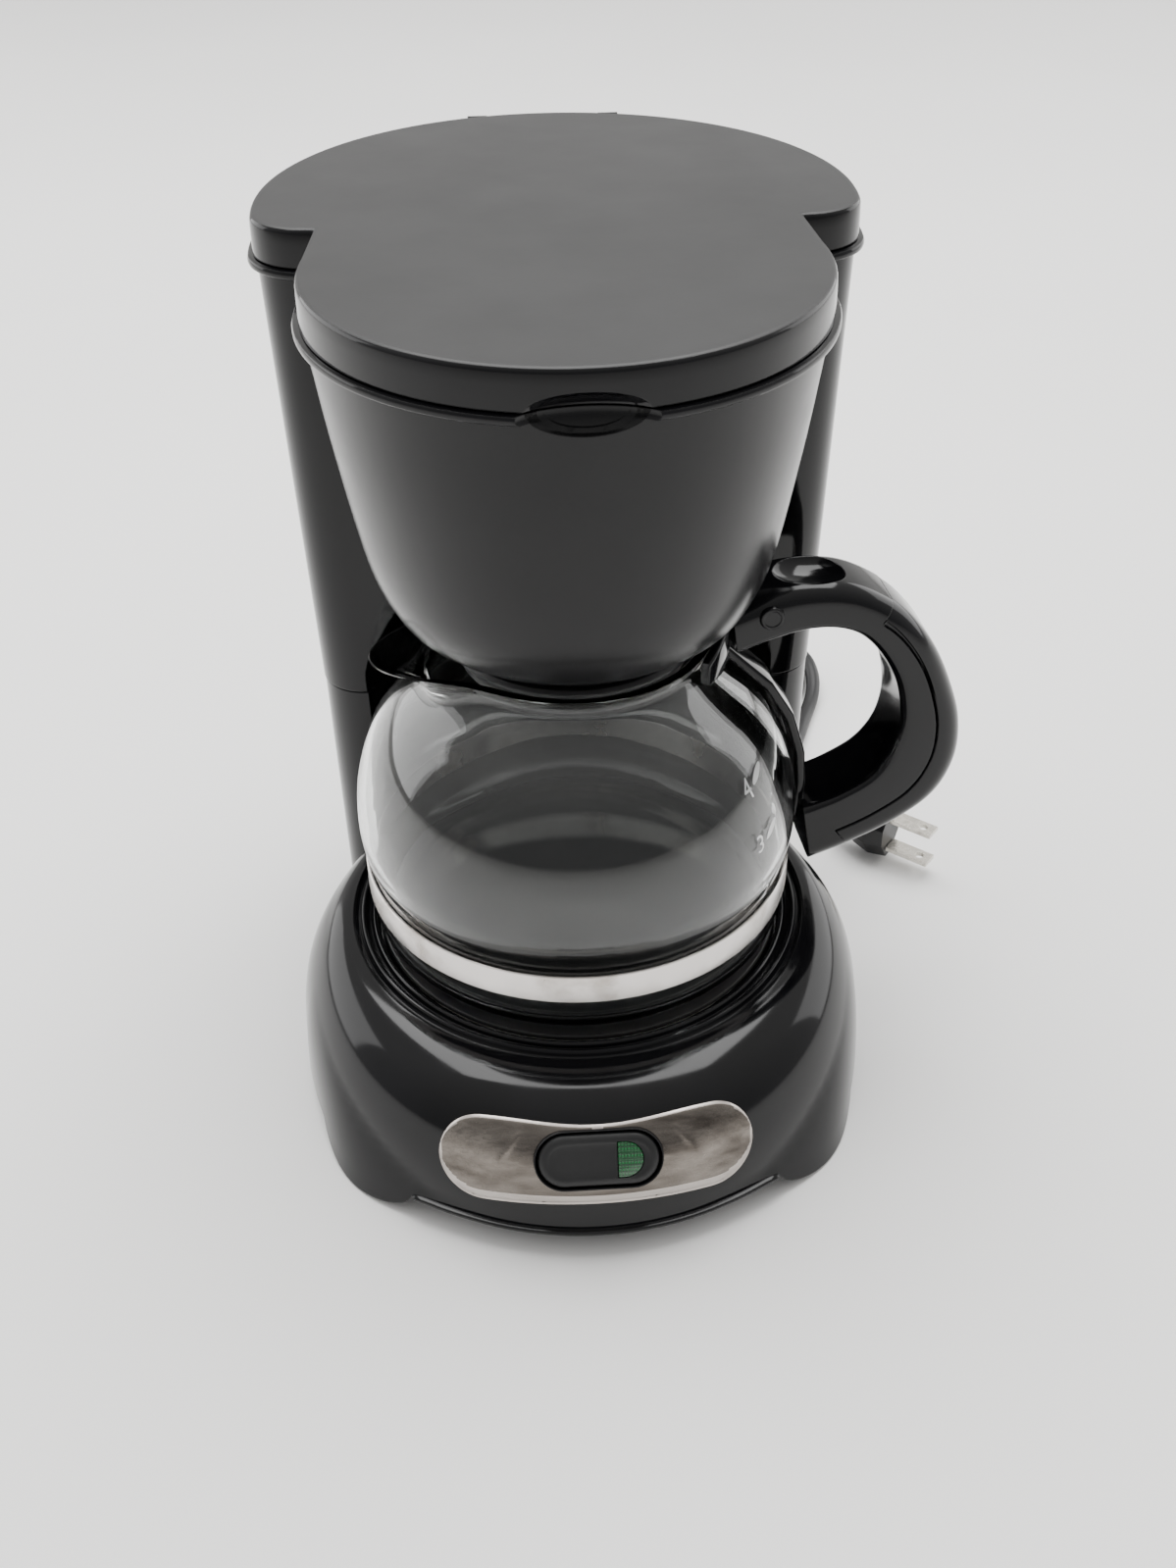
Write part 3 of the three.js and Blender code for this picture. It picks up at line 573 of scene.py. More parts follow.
def head_radius(z):
    """Outer radius of the funnel at a height."""
    for (r0, z0), (r1, z1) in zip(HEAD_PROFILE, HEAD_PROFILE[1:]):
        if z <= z1:
            return r0 + (r1 - r0) * (z - z0) / (z1 - z0)
    return HEAD_PROFILE[-1][0]


def bay_radius(z):
    """The bay follows the carafe: wide round the glass, narrower round its neck."""
    if z <= NECK_START:
        return BAY_R
    share = min(1.0, (z - NECK_START) / NECK_RISE)
    return BAY_R - NECK_IN * share * share * (3 - 2 * share)


def tower_section(radius, corner, front, cut_r, cut_y):
    """Tower outline whose front is hollowed by a circle: right front, round the back, left front, hollow."""
    corner_y = front + corner
    corner_x = math.sqrt((radius - corner) ** 2 - (LOBE_Y - corner_y) ** 2)
    tangent = math.degrees(math.atan2(corner_y - LOBE_Y, corner_x))
    edge_x = min(math.sqrt(cut_r ** 2 - (front - cut_y) ** 2), corner_x - 0.4)
    right = [(edge_x, front)] + arc(corner_x, corner_y, corner, -90, tangent, 12)
    right += arc(0, LOBE_Y, radius, tangent, 90, 40)[1:]
    start = math.degrees(math.acos(edge_x / cut_r))
    hollow = arc(0, cut_y, cut_r, 180 - start, start, 60)
    return right + [(-x, y) for x, y in reversed(right[:-1])] + hollow


def upper_section(z, inset, cut_r, cut_y):
    share = (z - SPLIT_Z) / (RIM_TOP - SPLIT_Z)
    return tower_section(75.5 + 4.2 * share - inset, TOWER_CORNER - inset, TOWER_FACE + inset, cut_r, cut_y)


def lower_section(z, inset, cut_r):
    return tower_section(74 + 1.2 * z / SPLIT_Z - inset, TOWER_CORNER - inset, TOWER_FACE + inset, cut_r, 0)


def shell_of(outside, inside):
    """A wall between outside sections, going up, and inside sections, coming back down."""
    return skin([[(x, y, z) for x, y in outline] for outline, z in outside + inside], closed=True)


def heights(low, high, count):
    return [low + (high - low) * i / count for i in range(count + 1)]


def make_upper_housing():
    outside = [tuple(p) for p in spline(HEAD_PROFILE, 6)]
    inside = [tuple(p) for p in spline(HEAD_INSIDE, 4)]
    profile = [(30, 152.4), (30.4, 152)] + outside + inside + [(30.4, 154.5), (30, 154.1)]
    funnel = turned(profile, 160, (0, HEAD_Y))
    rim = stacked([(lid_outline(grow), z) for grow, z in RIM_STEPS], closed=True)
    low = heights(SPLIT_Z, HEAD_FLOOR, 14)
    high = heights(HEAD_FLOOR + 0.2, RIM_TOP - 2, 16)
    outer = [(upper_section(z, 0, bay_radius(z), 0), z) for z in low]
    outer += [(upper_section(z, 0, head_radius(z) - 0.8, HEAD_Y), z) for z in high]
    inner = [(upper_section(z, WALL, head_radius(z) - 0.3, HEAD_Y), z) for z in reversed(high[3:])]
    inner += [(upper_section(z, WALL, bay_radius(z) + WALL, 0), z) for z in reversed(low[:-1])]
    tower = shell_of(outer, inner)
    ears = together(*[ear(side * EAR_X, 3.0, RIM_TOP - 4, 132.4) for side in (-1, 1)])
    funnel = carved(funnel, notch_tool())
    rim = carved(rim, notch_tool())
    pocket = notch_pocket(NOTCH_Z - NOTCH_HALF[2] + 0.1, RIM_TOP - 0.02, lambda z: head_radius(z) - 0.6)
    piece("brew_head", together(funnel, pocket), HEAD, "machine", ["upper_housing"], 40)
    piece("housing_rim", together(rim, ears), GLOSS, "machine")
    piece("upper_tower", tower, GLOSS, "machine")


def ear(x, half, low, back):
    """An upright hinge ear with a round top."""
    outline = [(back, low), (HINGE_Y + EAR_R, low)] + arc(HINGE_Y, HINGE_Z, EAR_R, 0, 180, 14)
    outline.append((back, HINGE_Z - 3))
    return skin([[(x + side * half, y, z) for y, z in outline] for side in (-1, 1)])


make_upper_housing()


# ---- base: skirt with four feet, and the lower tower ----
def skirt_point(angle, turn, inset=0.0):
    """A place on the skirt: angle round it, and turn from 0 at the floor to 90 at its top edge."""
    swell = math.cos(math.radians(turn))
    z = BASE_TOP * math.sin(math.radians(turn)) ** 0.625
    radius = SKIRT_TOP_R + (SKIRT_R - SKIRT_TOP_R) * swell - inset + foot_swell(angle, z)
    a = math.radians(angle)
    return radius * math.cos(a), SKIRT_Y * swell + radius * math.sin(a), z


def side_angle(angle):
    """Degrees from straight out at the side toward the back, the same on both sides."""
    return math.degrees(math.asin(max(-1.0, min(1.0, math.sin(math.radians(angle))))))


def foot_swell(angle, z):
    """How far the feet stand out of the plain skirt: a leaf over each front foot and one behind it."""
    side = side_angle(angle)
    crest = 45 - 34 * min(1.0, max(0.0, (8 - side) / 64)) ** 1.3
    front = 0.0
    if z < crest and side > -66:
        fade = min(1.0, (66 + side) / 14)
        front = (1.1 + 4.3 * math.exp(-((side + FOOT_ANGLE) / 15) ** 2)) * fade * (1 - z / crest) ** 0.75
    rear = 3.4 * math.exp(-((side - 12) / 15) ** 2) * (1 - min(z, 44) / 44) ** 0.6
    return max(front, rear)


def low_edge(angle):
    """Height of the skirt's lower edge: round-tipped feet with raised edges between them."""
    side = side_angle(angle)
    height = APRON_Z
    for centre, half in ((-FOOT_ANGLE, 13.5), (6, 17)):
        u = abs(side - centre) / half
        if u < 1:
            height = min(height, 0.6 + (APRON_Z - 0.6) * (1 - math.sqrt(1 - u * u)))
    return height


def low_turn(z):
    return math.degrees(math.asin((z / BASE_TOP) ** 1.6))


# (radius, height) from the skirt's top edge inward over two beads and down into the plate's well
RINGS = [(69.3, 48.1), (68.9, 47.7), (68.5, 47.0), (67.6, 46.8), (67.1, 47.2), (66.9, 48.1), (66.5, 48.7),
         (66.0, 48.8), (65.5, 48.5), (65.2, 47.6), (64.7, 46.9), (64.0, 46.9), (63.6, 47.6), (63.3, 48.2),
         (62.9, 48.5), (62.4, 48.4), (61.9, 47.9), (61.5, 46.9), (61.3, 44.8), (58, 44.6), (58, 42.5)]
# (out, up) round the lip along the skirt's front edge
APRON_LIP = [(0.0, 0.0), (1.2, 0.0), (1.4, 0.5), (1.3, 1.0), (0.9, 1.25)]
LIP_TOP = 1.35


def apron_share(angle):
    """1 along the front edge between the feet, 0 elsewhere."""
    return min(1.0, max(0.0, (-51 - side_angle(angle)) / 3))


def make_skirt():
    """One shell: up the outside, over the beads, down into the plate's well, back along the inside."""
    angles = range(360)
    rows = 34
    inner_rows = 10
    rings = []
    for out, rise in APRON_LIP:
        ring = []
        for angle in angles:
            share = apron_share(angle)
            x, y, z = skirt_point(angle, low_turn(low_edge(angle)), -out * share)
            ring.append((x, y, z + rise * share))
        rings.append(ring)
    for k in range(rows + 1):
        ring = []
        for angle in angles:
            start = low_turn(low_edge(angle))
            x, y, z = skirt_point(angle, start + (90 - start) * k / rows)
            ring.append((x, y, z + (LIP_TOP * apron_share(angle) if k == 0 else 0)))
        rings.append(ring)
    for radius, z in RINGS:
        rings.append([(x, y, z) for x, y in arc(0, 0, radius, 0, 360, 360)[:-1]])
    for k in range(inner_rows, -1, -1):
        ring = []
        for angle in angles:
            start = low_turn(low_edge(angle))
            ring.append(skirt_point(angle, start + (60 - start) * k / inner_rows, WALL))
        rings.append(ring)
    switch_hole = panel_prism(stadium(ROCKER_LONG + 2.4, ROCKER_TALL + 2.4), -24, 14)
    skirt = carved(skin(rings, closed=True), switch_hole)
    low = heights(0.8, SPLIT_Z - 0.5, 12)
    outer = [(lower_section(z, 0, BAY_R), z) for z in low]
    outer.append((lower_section(SPLIT_Z, 0.5, BAY_R + 0.4), SPLIT_Z - 0.2))
    tower = shell_of(outer, [(lower_section(z, WALL, BAY_R + WALL), z) for z in reversed(low)])
    roof = stacked([(lower_section(z, 0.6, BAY_R + 0.6), z) for z in (SPLIT_Z - 3.2, SPLIT_Z - 0.3)])
    piece("base_skirt", skirt, GLOSS, "machine", ["base_housing"], 40)
    piece("lower_tower", together(tower, roof), GLOSS, "machine")
    profile = [(0, 46.2), (58.5, 46.2), (60.2, 46.6), (PLATE_R, 47.1), (PLATE_R, 47.7), (60.2, PLATE_TOP),
               (57.2, PLATE_TOP), (56.2, 48.0), (55.4, 47.6), (54.4, 47.5), (0, 47.5)]
    plate = turned(profile, 160, closed=False)
    piece("hot_plate", plate, COATING, "machine", ["warming_plate"])


# ---- control panel ----
PANEL_UP = (math.sin(math.radians(PANEL_TILT)), math.cos(math.radians(PANEL_TILT)))


def on_panel(u, v, w):
    """A place on the panel: u across, v up the slope, w out of it."""
    return u, PANEL_Y + v * PANEL_UP[0] - w * PANEL_UP[1], PANEL_Z + v * PANEL_UP[1] + w * PANEL_UP[0]


def skirt_depth(u, v):
    """How far out of the panel's plane the skirt's surface lies."""
    low = -30.0
    high = 12.0
    for _ in range(26):
        middle = (low + high) / 2
        x, y, z = on_panel(u, v, middle)
        share = min(1.0, max(0.0, z / BASE_TOP))
        swell = math.sqrt(1 - share ** 3.2)
        inside = math.hypot(x, y - SKIRT_Y * swell) < SKIRT_TOP_R + (SKIRT_R - SKIRT_TOP_R) * swell
        if inside:
            low = middle
        else:
            high = middle
    return low


def bean_edges(share):
    """u, and the lower and upper v, of the steel plate's outline; share runs from -1 to 1 across it."""
    u = STEEL_HALF * math.sin(share * math.pi / 2)
    reach = abs(u) / STEEL_HALF
    round_end = math.sqrt(max(0.0, 1 - max(0.0, (reach - 0.72) / 0.28) ** 2.2))
    upper = 12.4 - 2.8 * math.cos(min(1.0, reach / 0.8) * math.pi / 2) ** 2
    lower = -13.8 + 1.6 * reach ** 2
    middle = 0.4
    return u, middle + (lower - middle) * round_end, middle + (upper - middle) * round_end


def stadium(long, tall, steps=20):
    """Outline of a slot with round ends."""
    half = (long - tall) / 2
    return arc(half, 0, tall / 2, -90, 90, steps) + arc(-half, 0, tall / 2, 90, 270, steps)


def panel_prism(outline, low, high):
    return skin([[on_panel(u, v, w) for u, v in outline] for w in (low, high)])


PANEL_OUT = skirt_depth(0, 0)   # the middle of the panel is level with the skirt here


def raised(u, v, w):
    """A place on the panel, w out of the skirt's surface at its middle."""
    return on_panel(u, v, PANEL_OUT + w)


BEVEL_TALL = 3.2                # of the plate's lower edge
FACE_LIFT = 0.95                # the plate's face, out of the skirt
BACK_LIFT = 0.25


def plate_relief(u, v, low, high):
    """Rise and fall of the plate's face: rolled edge, lower bevel and two pressed creases."""
    margin = min(high - v, STEEL_HALF - abs(u), v - low)
    edge = -0.5 * max(0.0, 1 - margin / 0.9) ** 2
    bevel = -0.8 * max(0.0, 1 - (v - low) / BEVEL_TALL)
    crease_u = 30.5 - 0.0216 * (v + 13) ** 2
    off = abs(abs(u) - crease_u)
    crease = 0.42 * max(0.0, 1 - off / 1.1) if -9.5 < v < 8 else 0.0
    return edge + bevel + crease


def make_steel_plate():
    across = 180
    up = 40
    layers = []
    for lift in (FACE_LIFT, BACK_LIFT):
        rows = []
        for k in range(up + 1):
            row = []
            for i in range(across + 1):
                share = 2 * i / across - 1
                u, low, high = bean_edges(share * 0.9985)
                v = low + (high - low) * k / up
                depth = skirt_depth(u, v) + lift
                if lift == FACE_LIFT:
                    depth += plate_relief(u, v, low, high)
                row.append(on_panel(u, v, depth))
            rows.append(row)
        layers.append(rows)
    count = across + 1
    points = [p for rows in layers for row in rows for p in row]
    size = (up + 1) * count
    faces = []
    for k in range(up):
        for i in range(across):
            a = k * count + i
            faces.append((a, a + 1, a + 1 + count, a + count))
            faces.append((a + size + count, a + 1 + count + size, a + 1 + size, a + size))
    edge = [(0, i) for i in range(across)] + [(k, across) for k in range(up)]
    edge += [(up, i) for i in range(across, 0, -1)] + [(k, 0) for k in range(up, 0, -1)]
    loop = [k * count + i for k, i in edge]
    for a, b in zip(loop, loop[1:] + loop[:1]):
        faces.append((a, a + size, b + size, b))
    plate = carved((points, faces), panel_prism(stadium(ROCKER_LONG + 2.6, ROCKER_TALL + 2.6), -30, 12))
    shown = piece("steel_control_plate", plate, BRUSHED, "machine", ["control_plate"], 40)
    # the rolled edges and the lower bevel take the lighter steel, a painted highlight along them
    shown.data.materials.append(STEEL_EDGE_PAINTED_HIGHLIGHT)
    for face in shown.data.polygons:
        spot = (face.center - AXIS) / MM
        u = max(0.1 - STEEL_HALF, min(STEEL_HALF - 0.1, spot.x))
        v = (spot.y - PANEL_Y) * PANEL_UP[0] + (face.center.z / MM - PANEL_Z) * PANEL_UP[1]
        low, high = bean_edges(math.asin(u / STEEL_HALF) * 2 / math.pi)[1:]
        if v - low < BEVEL_TALL or high - v < 0.8 or STEEL_HALF - abs(u) < 0.8:
            face.material_index = 1


def make_switch():
    surround = []
    steps = ((2.4, -20), (2.4, 0.5), (2.2, 0.8), (1.9, 0.85), (1.6, 0.7), (1.5, 0.4), (1.5, -14),
             (0.2, -14.2))
    for grow, w in steps:
        surround.append([raised(u, v, w) for u, v in stadium(ROCKER_LONG + grow, ROCKER_TALL + grow)])
    piece("switch_surround", skin(surround), SATIN, "machine", ["switch_body"])
    rocker = []
    steps = ((0, -7), (0, 0.2), (0.12, 0.55), (0.5, 0.95), (1.3, 1.3), (2.2, 1.42), (2.5, 1.3), (3.0, 1.22),
             (5.0, 1.2))
    for shrink, w in steps:
        outline = stadium(ROCKER_LONG - 2 * shrink, ROCKER_TALL - 2 * shrink)
        rocker.append([raised(u, v, w) for u, v in outline])
    pocket = panel_prism(lens_outline(0.2), PANEL_OUT + 0.2, PANEL_OUT + 6)
    piece("rocker", carved(skin(rocker), pocket), MATTE, "rocker", ["rocker_switch"])
    lens = [[raised(u, v, w) for u, v in lens_outline(-shrink)]
            for shrink, w in ((0, 0.25), (0, 1.1), (0.12, 1.3), (0.4, 1.4))]
    piece("lens", skin(lens), LENS, "rocker", ["lamp_lens"])


def lens_outline(grow):
    """A D lying with its straight side to the left."""
    half = LENS_HALF + grow
    return [(LENS_LEFT - grow, half), (LENS_LEFT - grow, -half)] + arc(LENS_LEFT + 1.9, 0, half, -90, 90, 20)


make_skirt()
make_steel_plate()
make_switch()


# ---- carafe ----
GLASS_PROFILE = [(46, GLASS_BOTTOM), (52, 48.9), (56.5, 49.9), (60.4, 52.6), (62.0, 57), (62.1, 66),
                 (62.3, 74), (63.6, 80.5), (64.2, 88), (63.2, 99), (59.2, 112), (52.4, 123.4),
                 (43.2, 132.6), (38.4, 137.6), (36.6, 141.0), (37.2, 143.6), (38.4, RIM_Z)]
GLASS_INSIDE = [(36.4, 145.9), (35.0, 144.2), (34.4, 141.2), (36.4, 136.8), (41.6, 131.0), (50.6, 121.9),
                (57.2, 111.2), (61.0, 98.8), (62.0, 88), (61.4, 81), (60.2, 74.8), (59.9, 66), (59.7, 57.6),
                (58.0, 54.2), (55, 52.4), (51, 51.4), (46, 51.2)]


def glass_radius(z):
    for (r0, z0), (r1, z1) in zip(GLASS_PROFILE, GLASS_PROFILE[1:]):
        if z <= z1:
            return r0 + (r1 - r0) * (z - z0) / (z1 - z0)
    return GLASS_PROFILE[-1][0]


SPOUT_LOW = 131                 # where the spout starts to rise
SPOUT_OUT = 18.5
SPOUT_SPREAD = 21               # degrees to either side


def spouted(x, y, z):
    """Pushes the rim outward into the pouring spout."""
    lift = max(0.0, (z - SPOUT_LOW) / (RIM_Z - SPOUT_LOW))
    radius = math.hypot(x, y)
    if radius < 1 or lift == 0:
        return x, y, z
    off = abs((math.degrees(math.atan2(y, x)) - SPOUT_ANGLE + 540) % 360 - 180)
    push = SPOUT_OUT * lift ** 1.6 * math.exp(-((off / SPOUT_SPREAD) ** 2))
    return x * (1 + push / radius), y * (1 + push / radius), z


def in_handle(r, s, z):
    """A place in the handle's plane: r out from the axis, s across."""
    a = math.radians(HANDLE_ANGLE)
    return r * math.cos(a) - s * math.sin(a), r * math.sin(a) + s * math.cos(a), z


def make_glass():
    outside = [tuple(p) for p in spline(GLASS_PROFILE, 5)]
    inside = [tuple(p) for p in spline(GLASS_INSIDE, 5)]
    profile = [(0, GLASS_BOTTOM + 1.4), (40, GLASS_BOTTOM + 1.1)] + outside + inside + [(40, 52.4), (0, 52.6)]
    bowl = moved(turned(profile, 180, closed=False), spouted)
    piece("glass_bowl", bowl, GLASS, "carafe", ["carafe_glass"], 60)
    band = turned([(62.45, 63.8), (63.0, 63.8), (63.2, 64.1), (63.2, 72.9), (63.0, 73.2), (62.45, 73.2)], 180)
    piece("steel_band", band, POLISHED, "carafe", ["carafe_band"])


# (out from the axis, height) along the handle's inner and outer sides
INNER_LINE = [(44, 138.6), (56, 142.6), (64, 144.2), (72, 143.8), (79, 141.0), (85, 135), (90.3, 126),
              (93, 117), (93.6, 108), (91.5, 99), (86, 91.4), (77, 86), (70, 83.4), (66.4, 82.4)]
OUTER_LINE = [(42, 152.2), (54, 156.4), (65, 157.4), (76, 155.8), (86, 150.8), (94.5, 143.8), (102.5, 133),
              (108.5, 120.5), (112.7, 107), (112.8, 93.5), (107.5, 81.5), (96, 72.2), (82, 65.2), (70, 60.8)]


def rounded_box(start, end, half, first, second, steps=7):
    """Cross-section from start to end, half wide each way; first and second are the radii at its ends."""
    corners = [(start + first, half - first, first, 180, 90),
               (end - second, half - second, second, 90, 0),
               (end - second, -half + second, second, 0, -90),
               (start + first, -half + first, first, -90, -180)]
    outline = []
    for along, across, radius, a0, a1 in corners:
        outline += arc(along, across, radius, a0, a1, steps)
    return outline


def handle_ring(inner, outer, start, end, half, first, second):
    """One cross-section between an inner and an outer point; start and end are shares of the way."""
    span = outer - inner
    length = span.length
    way = span / length
    ring = []
    for along, across in rounded_box(start * length, end * length, half, first, second):
        spot = inner + way * along
        ring.append(in_handle(spot.x, across, spot.y))
    return ring


COVER_SEAM = 0.56               # where the cover meets the frame, as a share of the handle's thickness
DISH_OUT = 66.5                 # middle of the thumb dish on top of the handle
DISH_Z = 159.0
DISH_HALF = (12.0, 8.6, 5.4)


def make_handle():
    inner = spline(INNER_LINE, 8)
    outer = spline(OUTER_LINE, 8)
    count = len(inner)
    first_cover = 34
    last_cover = count - 10
    frame_rings = []
    cover_rings = []
    for i in range(count):
        thick = (outer[i] - inner[i]).length
        whole = (1.0, min(6.0, thick / 2.4))
        covered = (COVER_SEAM, 0.5)
        if i == first_cover:
            steps = (whole, covered)
        elif i == last_cover + 1:
            steps = (covered, whole)
        elif first_cover < i <= last_cover:
            steps = (covered,)
        else:
            steps = (whole,)
        for end, radius in steps:
            frame_rings.append(handle_ring(inner[i], outer[i], 0, end, HANDLE_HALF, 2.6, radius))
        if first_cover <= i <= last_cover + 1:
            seam = COVER_SEAM + 0.45 / thick
            cover_rings.append(handle_ring(inner[i], outer[i], seam, 1.0, HANDLE_HALF + 0.1, 0.5, 6.2))
    grip = skin(frame_rings)
    cover_rings = shortened(cover_rings)
    hollow = []
    for i in range(1, 20):
        a = math.pi * i / 20
        z = DISH_Z - DISH_HALF[2] * math.cos(a)
        hollow.append([in_handle(DISH_OUT + DISH_HALF[0] * x, DISH_HALF[1] * y, z)
                       for x, y in arc(0, 0, math.sin(a), 0, 360, 48)[:-1]])
    grip = carved(grip, skin(hollow))
    piece("handle_grip", together(grip, collar(), strap(), boss(-1), boss(1)), GLOSS, "carafe",
          ["handle_frame"], 38)
    piece("handle_outer_cover", skin(cover_rings), GLOSS, "carafe", ["handle_cover"], 38)


def shortened(rings):
    """The run of rings with both ends drawn in a little, so that a seam shows."""
    for end, beside in ((0, 1), (-1, -2)):
        rings[end] = [tuple(Vector(a).lerp(Vector(b), 0.2)) for a, b in zip(rings[end], rings[beside])]
    return rings


def collar():
    """Part ring that holds the neck of the glass, thicker toward the handle."""
    rings = []
    steps = 48
    half = 40                   # degrees to either side of the handle
    for i in range(steps + 1):
        angle = half * (2 * i / steps - 1)
        a = math.radians(angle)
        reach = 43.4 - 0.8 * abs(angle) / half
        low = 137.6 + 2.4 * (abs(angle) / half) ** 2
        high = 151.6 - 4.6 * (abs(angle) / half) ** 2
        ring = []
        for r, z in rounded_corners(39.9, reach, low, high):
            ring.append(in_handle(r * math.cos(a), r * math.sin(a), z))
        rings.append(ring)
    return skin(rings)


def rounded_corners(r0, r1, z0, z1, radius=0.9):
    centre = (z0 + z1) / 2
    return [(r, centre + s) for r, s in rounded_box(r0, r1, (z1 - z0) / 2, radius, radius, 4)]


def strap():
    """Bar that runs down the glass from the collar to the lower arm."""
    line = [(glass_radius(z) + 2.5, z + 0.6) for z in heights(76, 139, 28)]
    rings = []
    for i, (r, z) in enumerate(line):
        ahead = line[min(i + 1, len(line) - 1)]
        behind = line[max(i - 1, 0)]
        run = Vector((ahead[0] - behind[0], ahead[1] - behind[1])).normalized()
        out = Vector((run.y, -run.x))
        ring = []
        for along, across in rounded_box(-1.4, 1.4, 6.5, 0.7, 1.2, 4):
            ring.append(in_handle(r + out.x * along, across, z + out.y * along))
        rings.append(ring)
    return skin(rings)


def boss(side):
    """Round end of the lid's pin housing on one side of the handle."""
    rings = []
    for radius, out in ((3.4, 0.0), (3.4, 1.0), (3.1, 1.35), (2.5, 1.45), (2.3, 1.2), (0.4, 1.2)):
        across = side * (HANDLE_HALF - 0.3 + out)
        rings.append([in_handle(53 + x, across, 150 + z) for x, z in arc(0, 0, radius, 0, 360, 32)[:-1]])
    return skin(rings)


def make_carafe_lid():
    profile = [(0, 143.4), (29, 143.4), (29.6, 139.6), (31.4, 139.4), (32.2, 141.4), (33.2, 143.4),
               (34.2, 144.6), (34.2, 145.6), (33.4, 146.6), (31.6, 147.0), (28, 146.2), (24, 145.6),
               (10, 145.4), (0, 145.4)]
    cap = turned(profile, 120, closed=False)
    lever = []
    steps = ((27, 145.2, 147.4, 6.0), (38, 145.9, 147.9, 6.0), (44, 146.0, 149.8, 5.9),
             (47, 146.0, 152.2, 5.8), (51, 146.1, 152.8, 5.8), (55, 146.6, 152.3, 5.7),
             (57.4, 148.2, 150.6, 5.2))
    for r, low, high, half in steps:
        middle = (low + high) / 2
        lever.append([in_handle(r, across, middle + up) for up, across in
                      rounded_box(-(high - low) / 2, (high - low) / 2, half, 0.6, 0.9, 4)])
    piece("carafe_cap", together(cap, skin(lever)), SATIN, "carafe_cap", ["carafe_lid"], 38)


MARK_Z = (80.5, 100.0, 116.0)
MARK_ANGLE = (-31.0, -34.5, -33.5)


def on_glass(angle, z, u, v):
    """A place just off the glass, u along it and v up its slope, from a middle point."""
    height = z + v
    radius = glass_radius(height) + 0.22
    a = math.radians(angle) + u / radius
    return radius * math.cos(a), radius * math.sin(a), height


def digit_outline(digit):
    """Faces of a plain printed digit, about five millimetres tall."""
    curve = bpy.data.curves.new("digit", "FONT")
    curve.body = digit
    curve.size = 7.5
    curve.align_x = "CENTER"
    curve.align_y = "CENTER"
    obj = bpy.data.objects.new("digit", curve)
    bpy.context.collection.objects.link(obj)
    graph = bpy.context.evaluated_depsgraph_get()
    mesh = bpy.data.meshes.new_from_object(obj.evaluated_get(graph))
    shape = ([tuple(v.co) for v in mesh.vertices], [tuple(f.vertices) for f in mesh.polygons])
    bpy.data.objects.remove(obj)
    return shape


def make_marks():
    """Slim slanted level marks, each with its plain number."""
    parts = []
    lean = Vector((math.cos(math.radians(24)), math.sin(math.radians(24))))
    for number, z, angle in zip("234", MARK_Z, MARK_ANGLE):
        leaf = []
        for x, y in arc(0, 0, 1, 0, 360, 32)[:-1]:
            u = 3.6 * x
            v = 0.95 * y
            leaf.append(on_glass(angle, z, u * lean.x - v * lean.y, u * lean.y + v * lean.x))
        parts.append((leaf, [tuple(range(32))]))
        points, faces = digit_outline(number)
        parts.append(([on_glass(angle, z - 1.5, u - 6.2, v) for u, v, _ in points], faces))
    piece("level_marks", together(*parts), INK, "carafe")


make_glass()
make_handle()
make_carafe_lid()
make_marks()


# ---- small visible parts ----
def make_feet():
    for name in ("front_left", "front_right", "rear_left", "rear_right"):
        low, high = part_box(f"rubber_foot_{name}")
        middle = ((low + high) / 2 - AXIS) / MM
        profile = [(0, 0), (4.6, 0), (5.4, 0.15), (5.9, 0.5), (6.4, 1.2), (6.4, 1.9), (0, 1.9)]
        foot = turned(profile, 40, (middle.x, middle.y), closed=False)
        piece(f"foot_{name}", foot, RUBBER, "machine", [f"rubber_foot_{name}"])


def make_strain_relief():
    """Bushing and a ribbed tapered sleeve."""
    low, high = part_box("strain_relief")
    start = (low.y - AXIS.y) / MM
    length = (high.y - low.y) / MM
    exit_x, _, exit_z = MACHINE_END[0]
    rings = []
    steps = [(0, 4.9), (0.2, 5.0), (0.42, 5.0), (0.44, 4.4)]
    for i in range(5):
        share = 0.46 + i * 0.105
        radius = 4.1 - i * 0.17
        steps += [(share, radius), (share + 0.055, radius - 0.05)]
        steps += [(share + 0.06, radius - 0.7), (share + 0.095, radius - 0.7)]
    steps += [(0.99, 3.3), (1.0, 3.0)]
    for share, radius in steps:
        y = start + share * length
        rings.append([(exit_x + x, y, exit_z + z) for x, z in arc(0, 0, radius, 0, 360, 40)[:-1]])
    piece("cord_strain_relief", skin(rings), RUBBER, "machine", ["strain_relief"])


make_feet()
make_strain_relief()


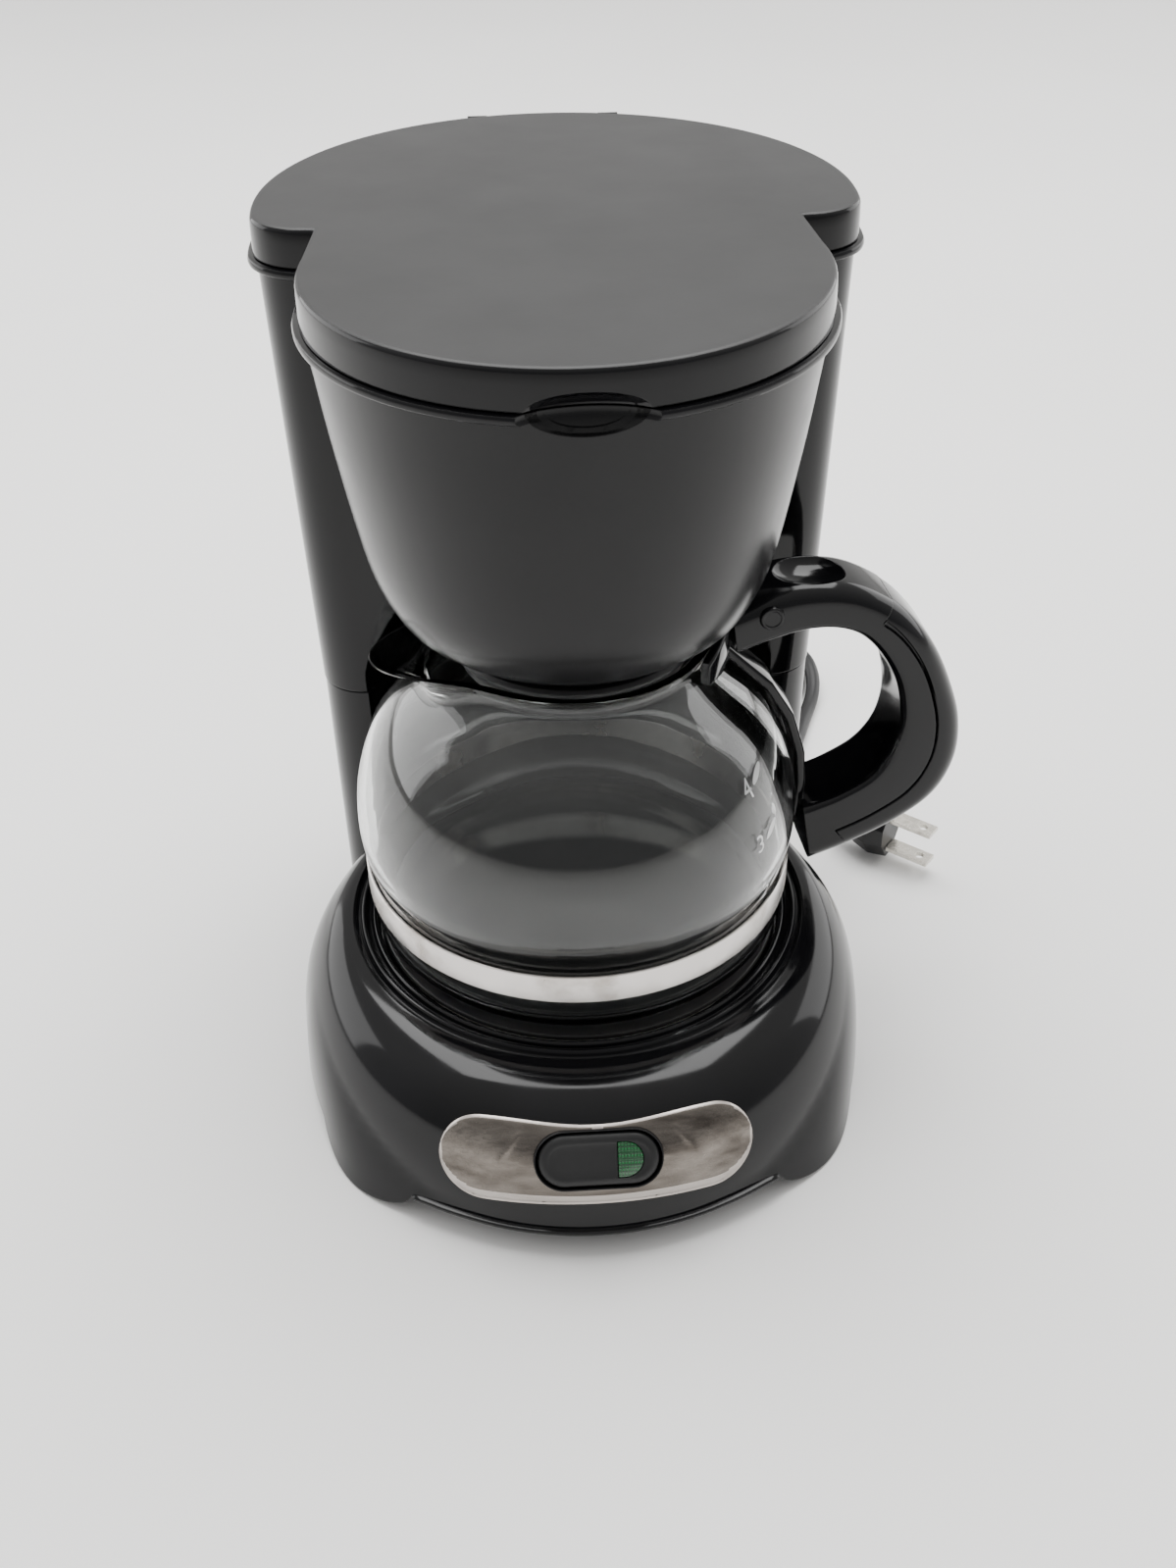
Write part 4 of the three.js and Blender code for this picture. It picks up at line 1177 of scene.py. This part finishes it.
# ---- floor and light ----
def make_floor():
    size = 6.0
    mesh = bpy.data.meshes.new("floor")
    corners = [(-size, -size, 0), (size, -size, 0), (size, size, 0), (-size, size, 0)]
    mesh.from_pydata([(x, y, z - 0.00005) for x, y, z in corners], [], [(0, 1, 2, 3)])
    paper = material("paper", (0.9, 0.9, 0.89), 0.62)
    tone = blended(paper, noise_of(paper, 3, 5), (0.9, 0.895, 0.885), (0.93, 0.925, 0.915))
    feed(paper, "Base Color", tone)
    relief(paper, noise_of(paper, 900, 4), 0.02)
    mesh.materials.append(paper)
    floor = bpy.data.objects.new("floor", mesh)
    bpy.context.collection.objects.link(floor)


def make_light(name, spot, aim, size, power):
    data = bpy.data.lights.new(name, "AREA")
    data.shape = "RECTANGLE"
    data.size, data.size_y = size
    data.energy = power
    lamp = bpy.data.objects.new(name, data)
    lamp.location = spot
    lamp.rotation_euler = (Vector(aim) - Vector(spot)).to_track_quat("-Z", "Y").to_euler()
    bpy.context.collection.objects.link(lamp)


def make_world():
    """Pale all round, brighter behind and above than in front and below."""
    world = bpy.data.worlds.new("studio")
    world.use_nodes = True
    nodes = world.node_tree.nodes
    links = world.node_tree.links
    place = nodes.new("ShaderNodeTexCoord")
    split = nodes.new("ShaderNodeSeparateXYZ")
    links.new(place.outputs["Generated"], split.inputs["Vector"])
    depth = nodes.new("ShaderNodeMath")
    depth.operation = "MULTIPLY_ADD"
    depth.inputs[1].default_value = 0.9
    links.new(split.outputs["Z"], depth.inputs[0])
    links.new(split.outputs["Y"], depth.inputs[2])
    tone = nodes.new("ShaderNodeValToRGB")
    tone.color_ramp.elements[0].position = 0.0
    tone.color_ramp.elements[0].color = (0.42, 0.42, 0.425, 1)
    tone.color_ramp.elements[1].position = 0.75
    tone.color_ramp.elements[1].color = (1.0, 0.99, 0.97, 1)
    shift = nodes.new("ShaderNodeMapRange")
    shift.inputs["From Min"].default_value = -0.6
    shift.inputs["From Max"].default_value = 1.2
    links.new(depth.outputs["Value"], shift.inputs["Value"])
    links.new(shift.outputs["Result"], tone.inputs["Fac"])
    links.new(tone.outputs["Color"], nodes["Background"].inputs["Color"])
    nodes["Background"].inputs["Strength"].default_value = 1.0
    bpy.context.scene.world = world


make_floor()
make_world()
make_light("overhead", (0.0, 0.45, 1.5), (0, 0.05, 0.05), (1.5, 1.1), 40)
make_light("left_side", (-1.7, 0.9, 0.7), (0, 0, 0.12), (1.8, 1.2), 18)
make_light("right_side", (1.7, 1.0, 0.7), (0, 0, 0.12), (1.8, 1.2), 16)
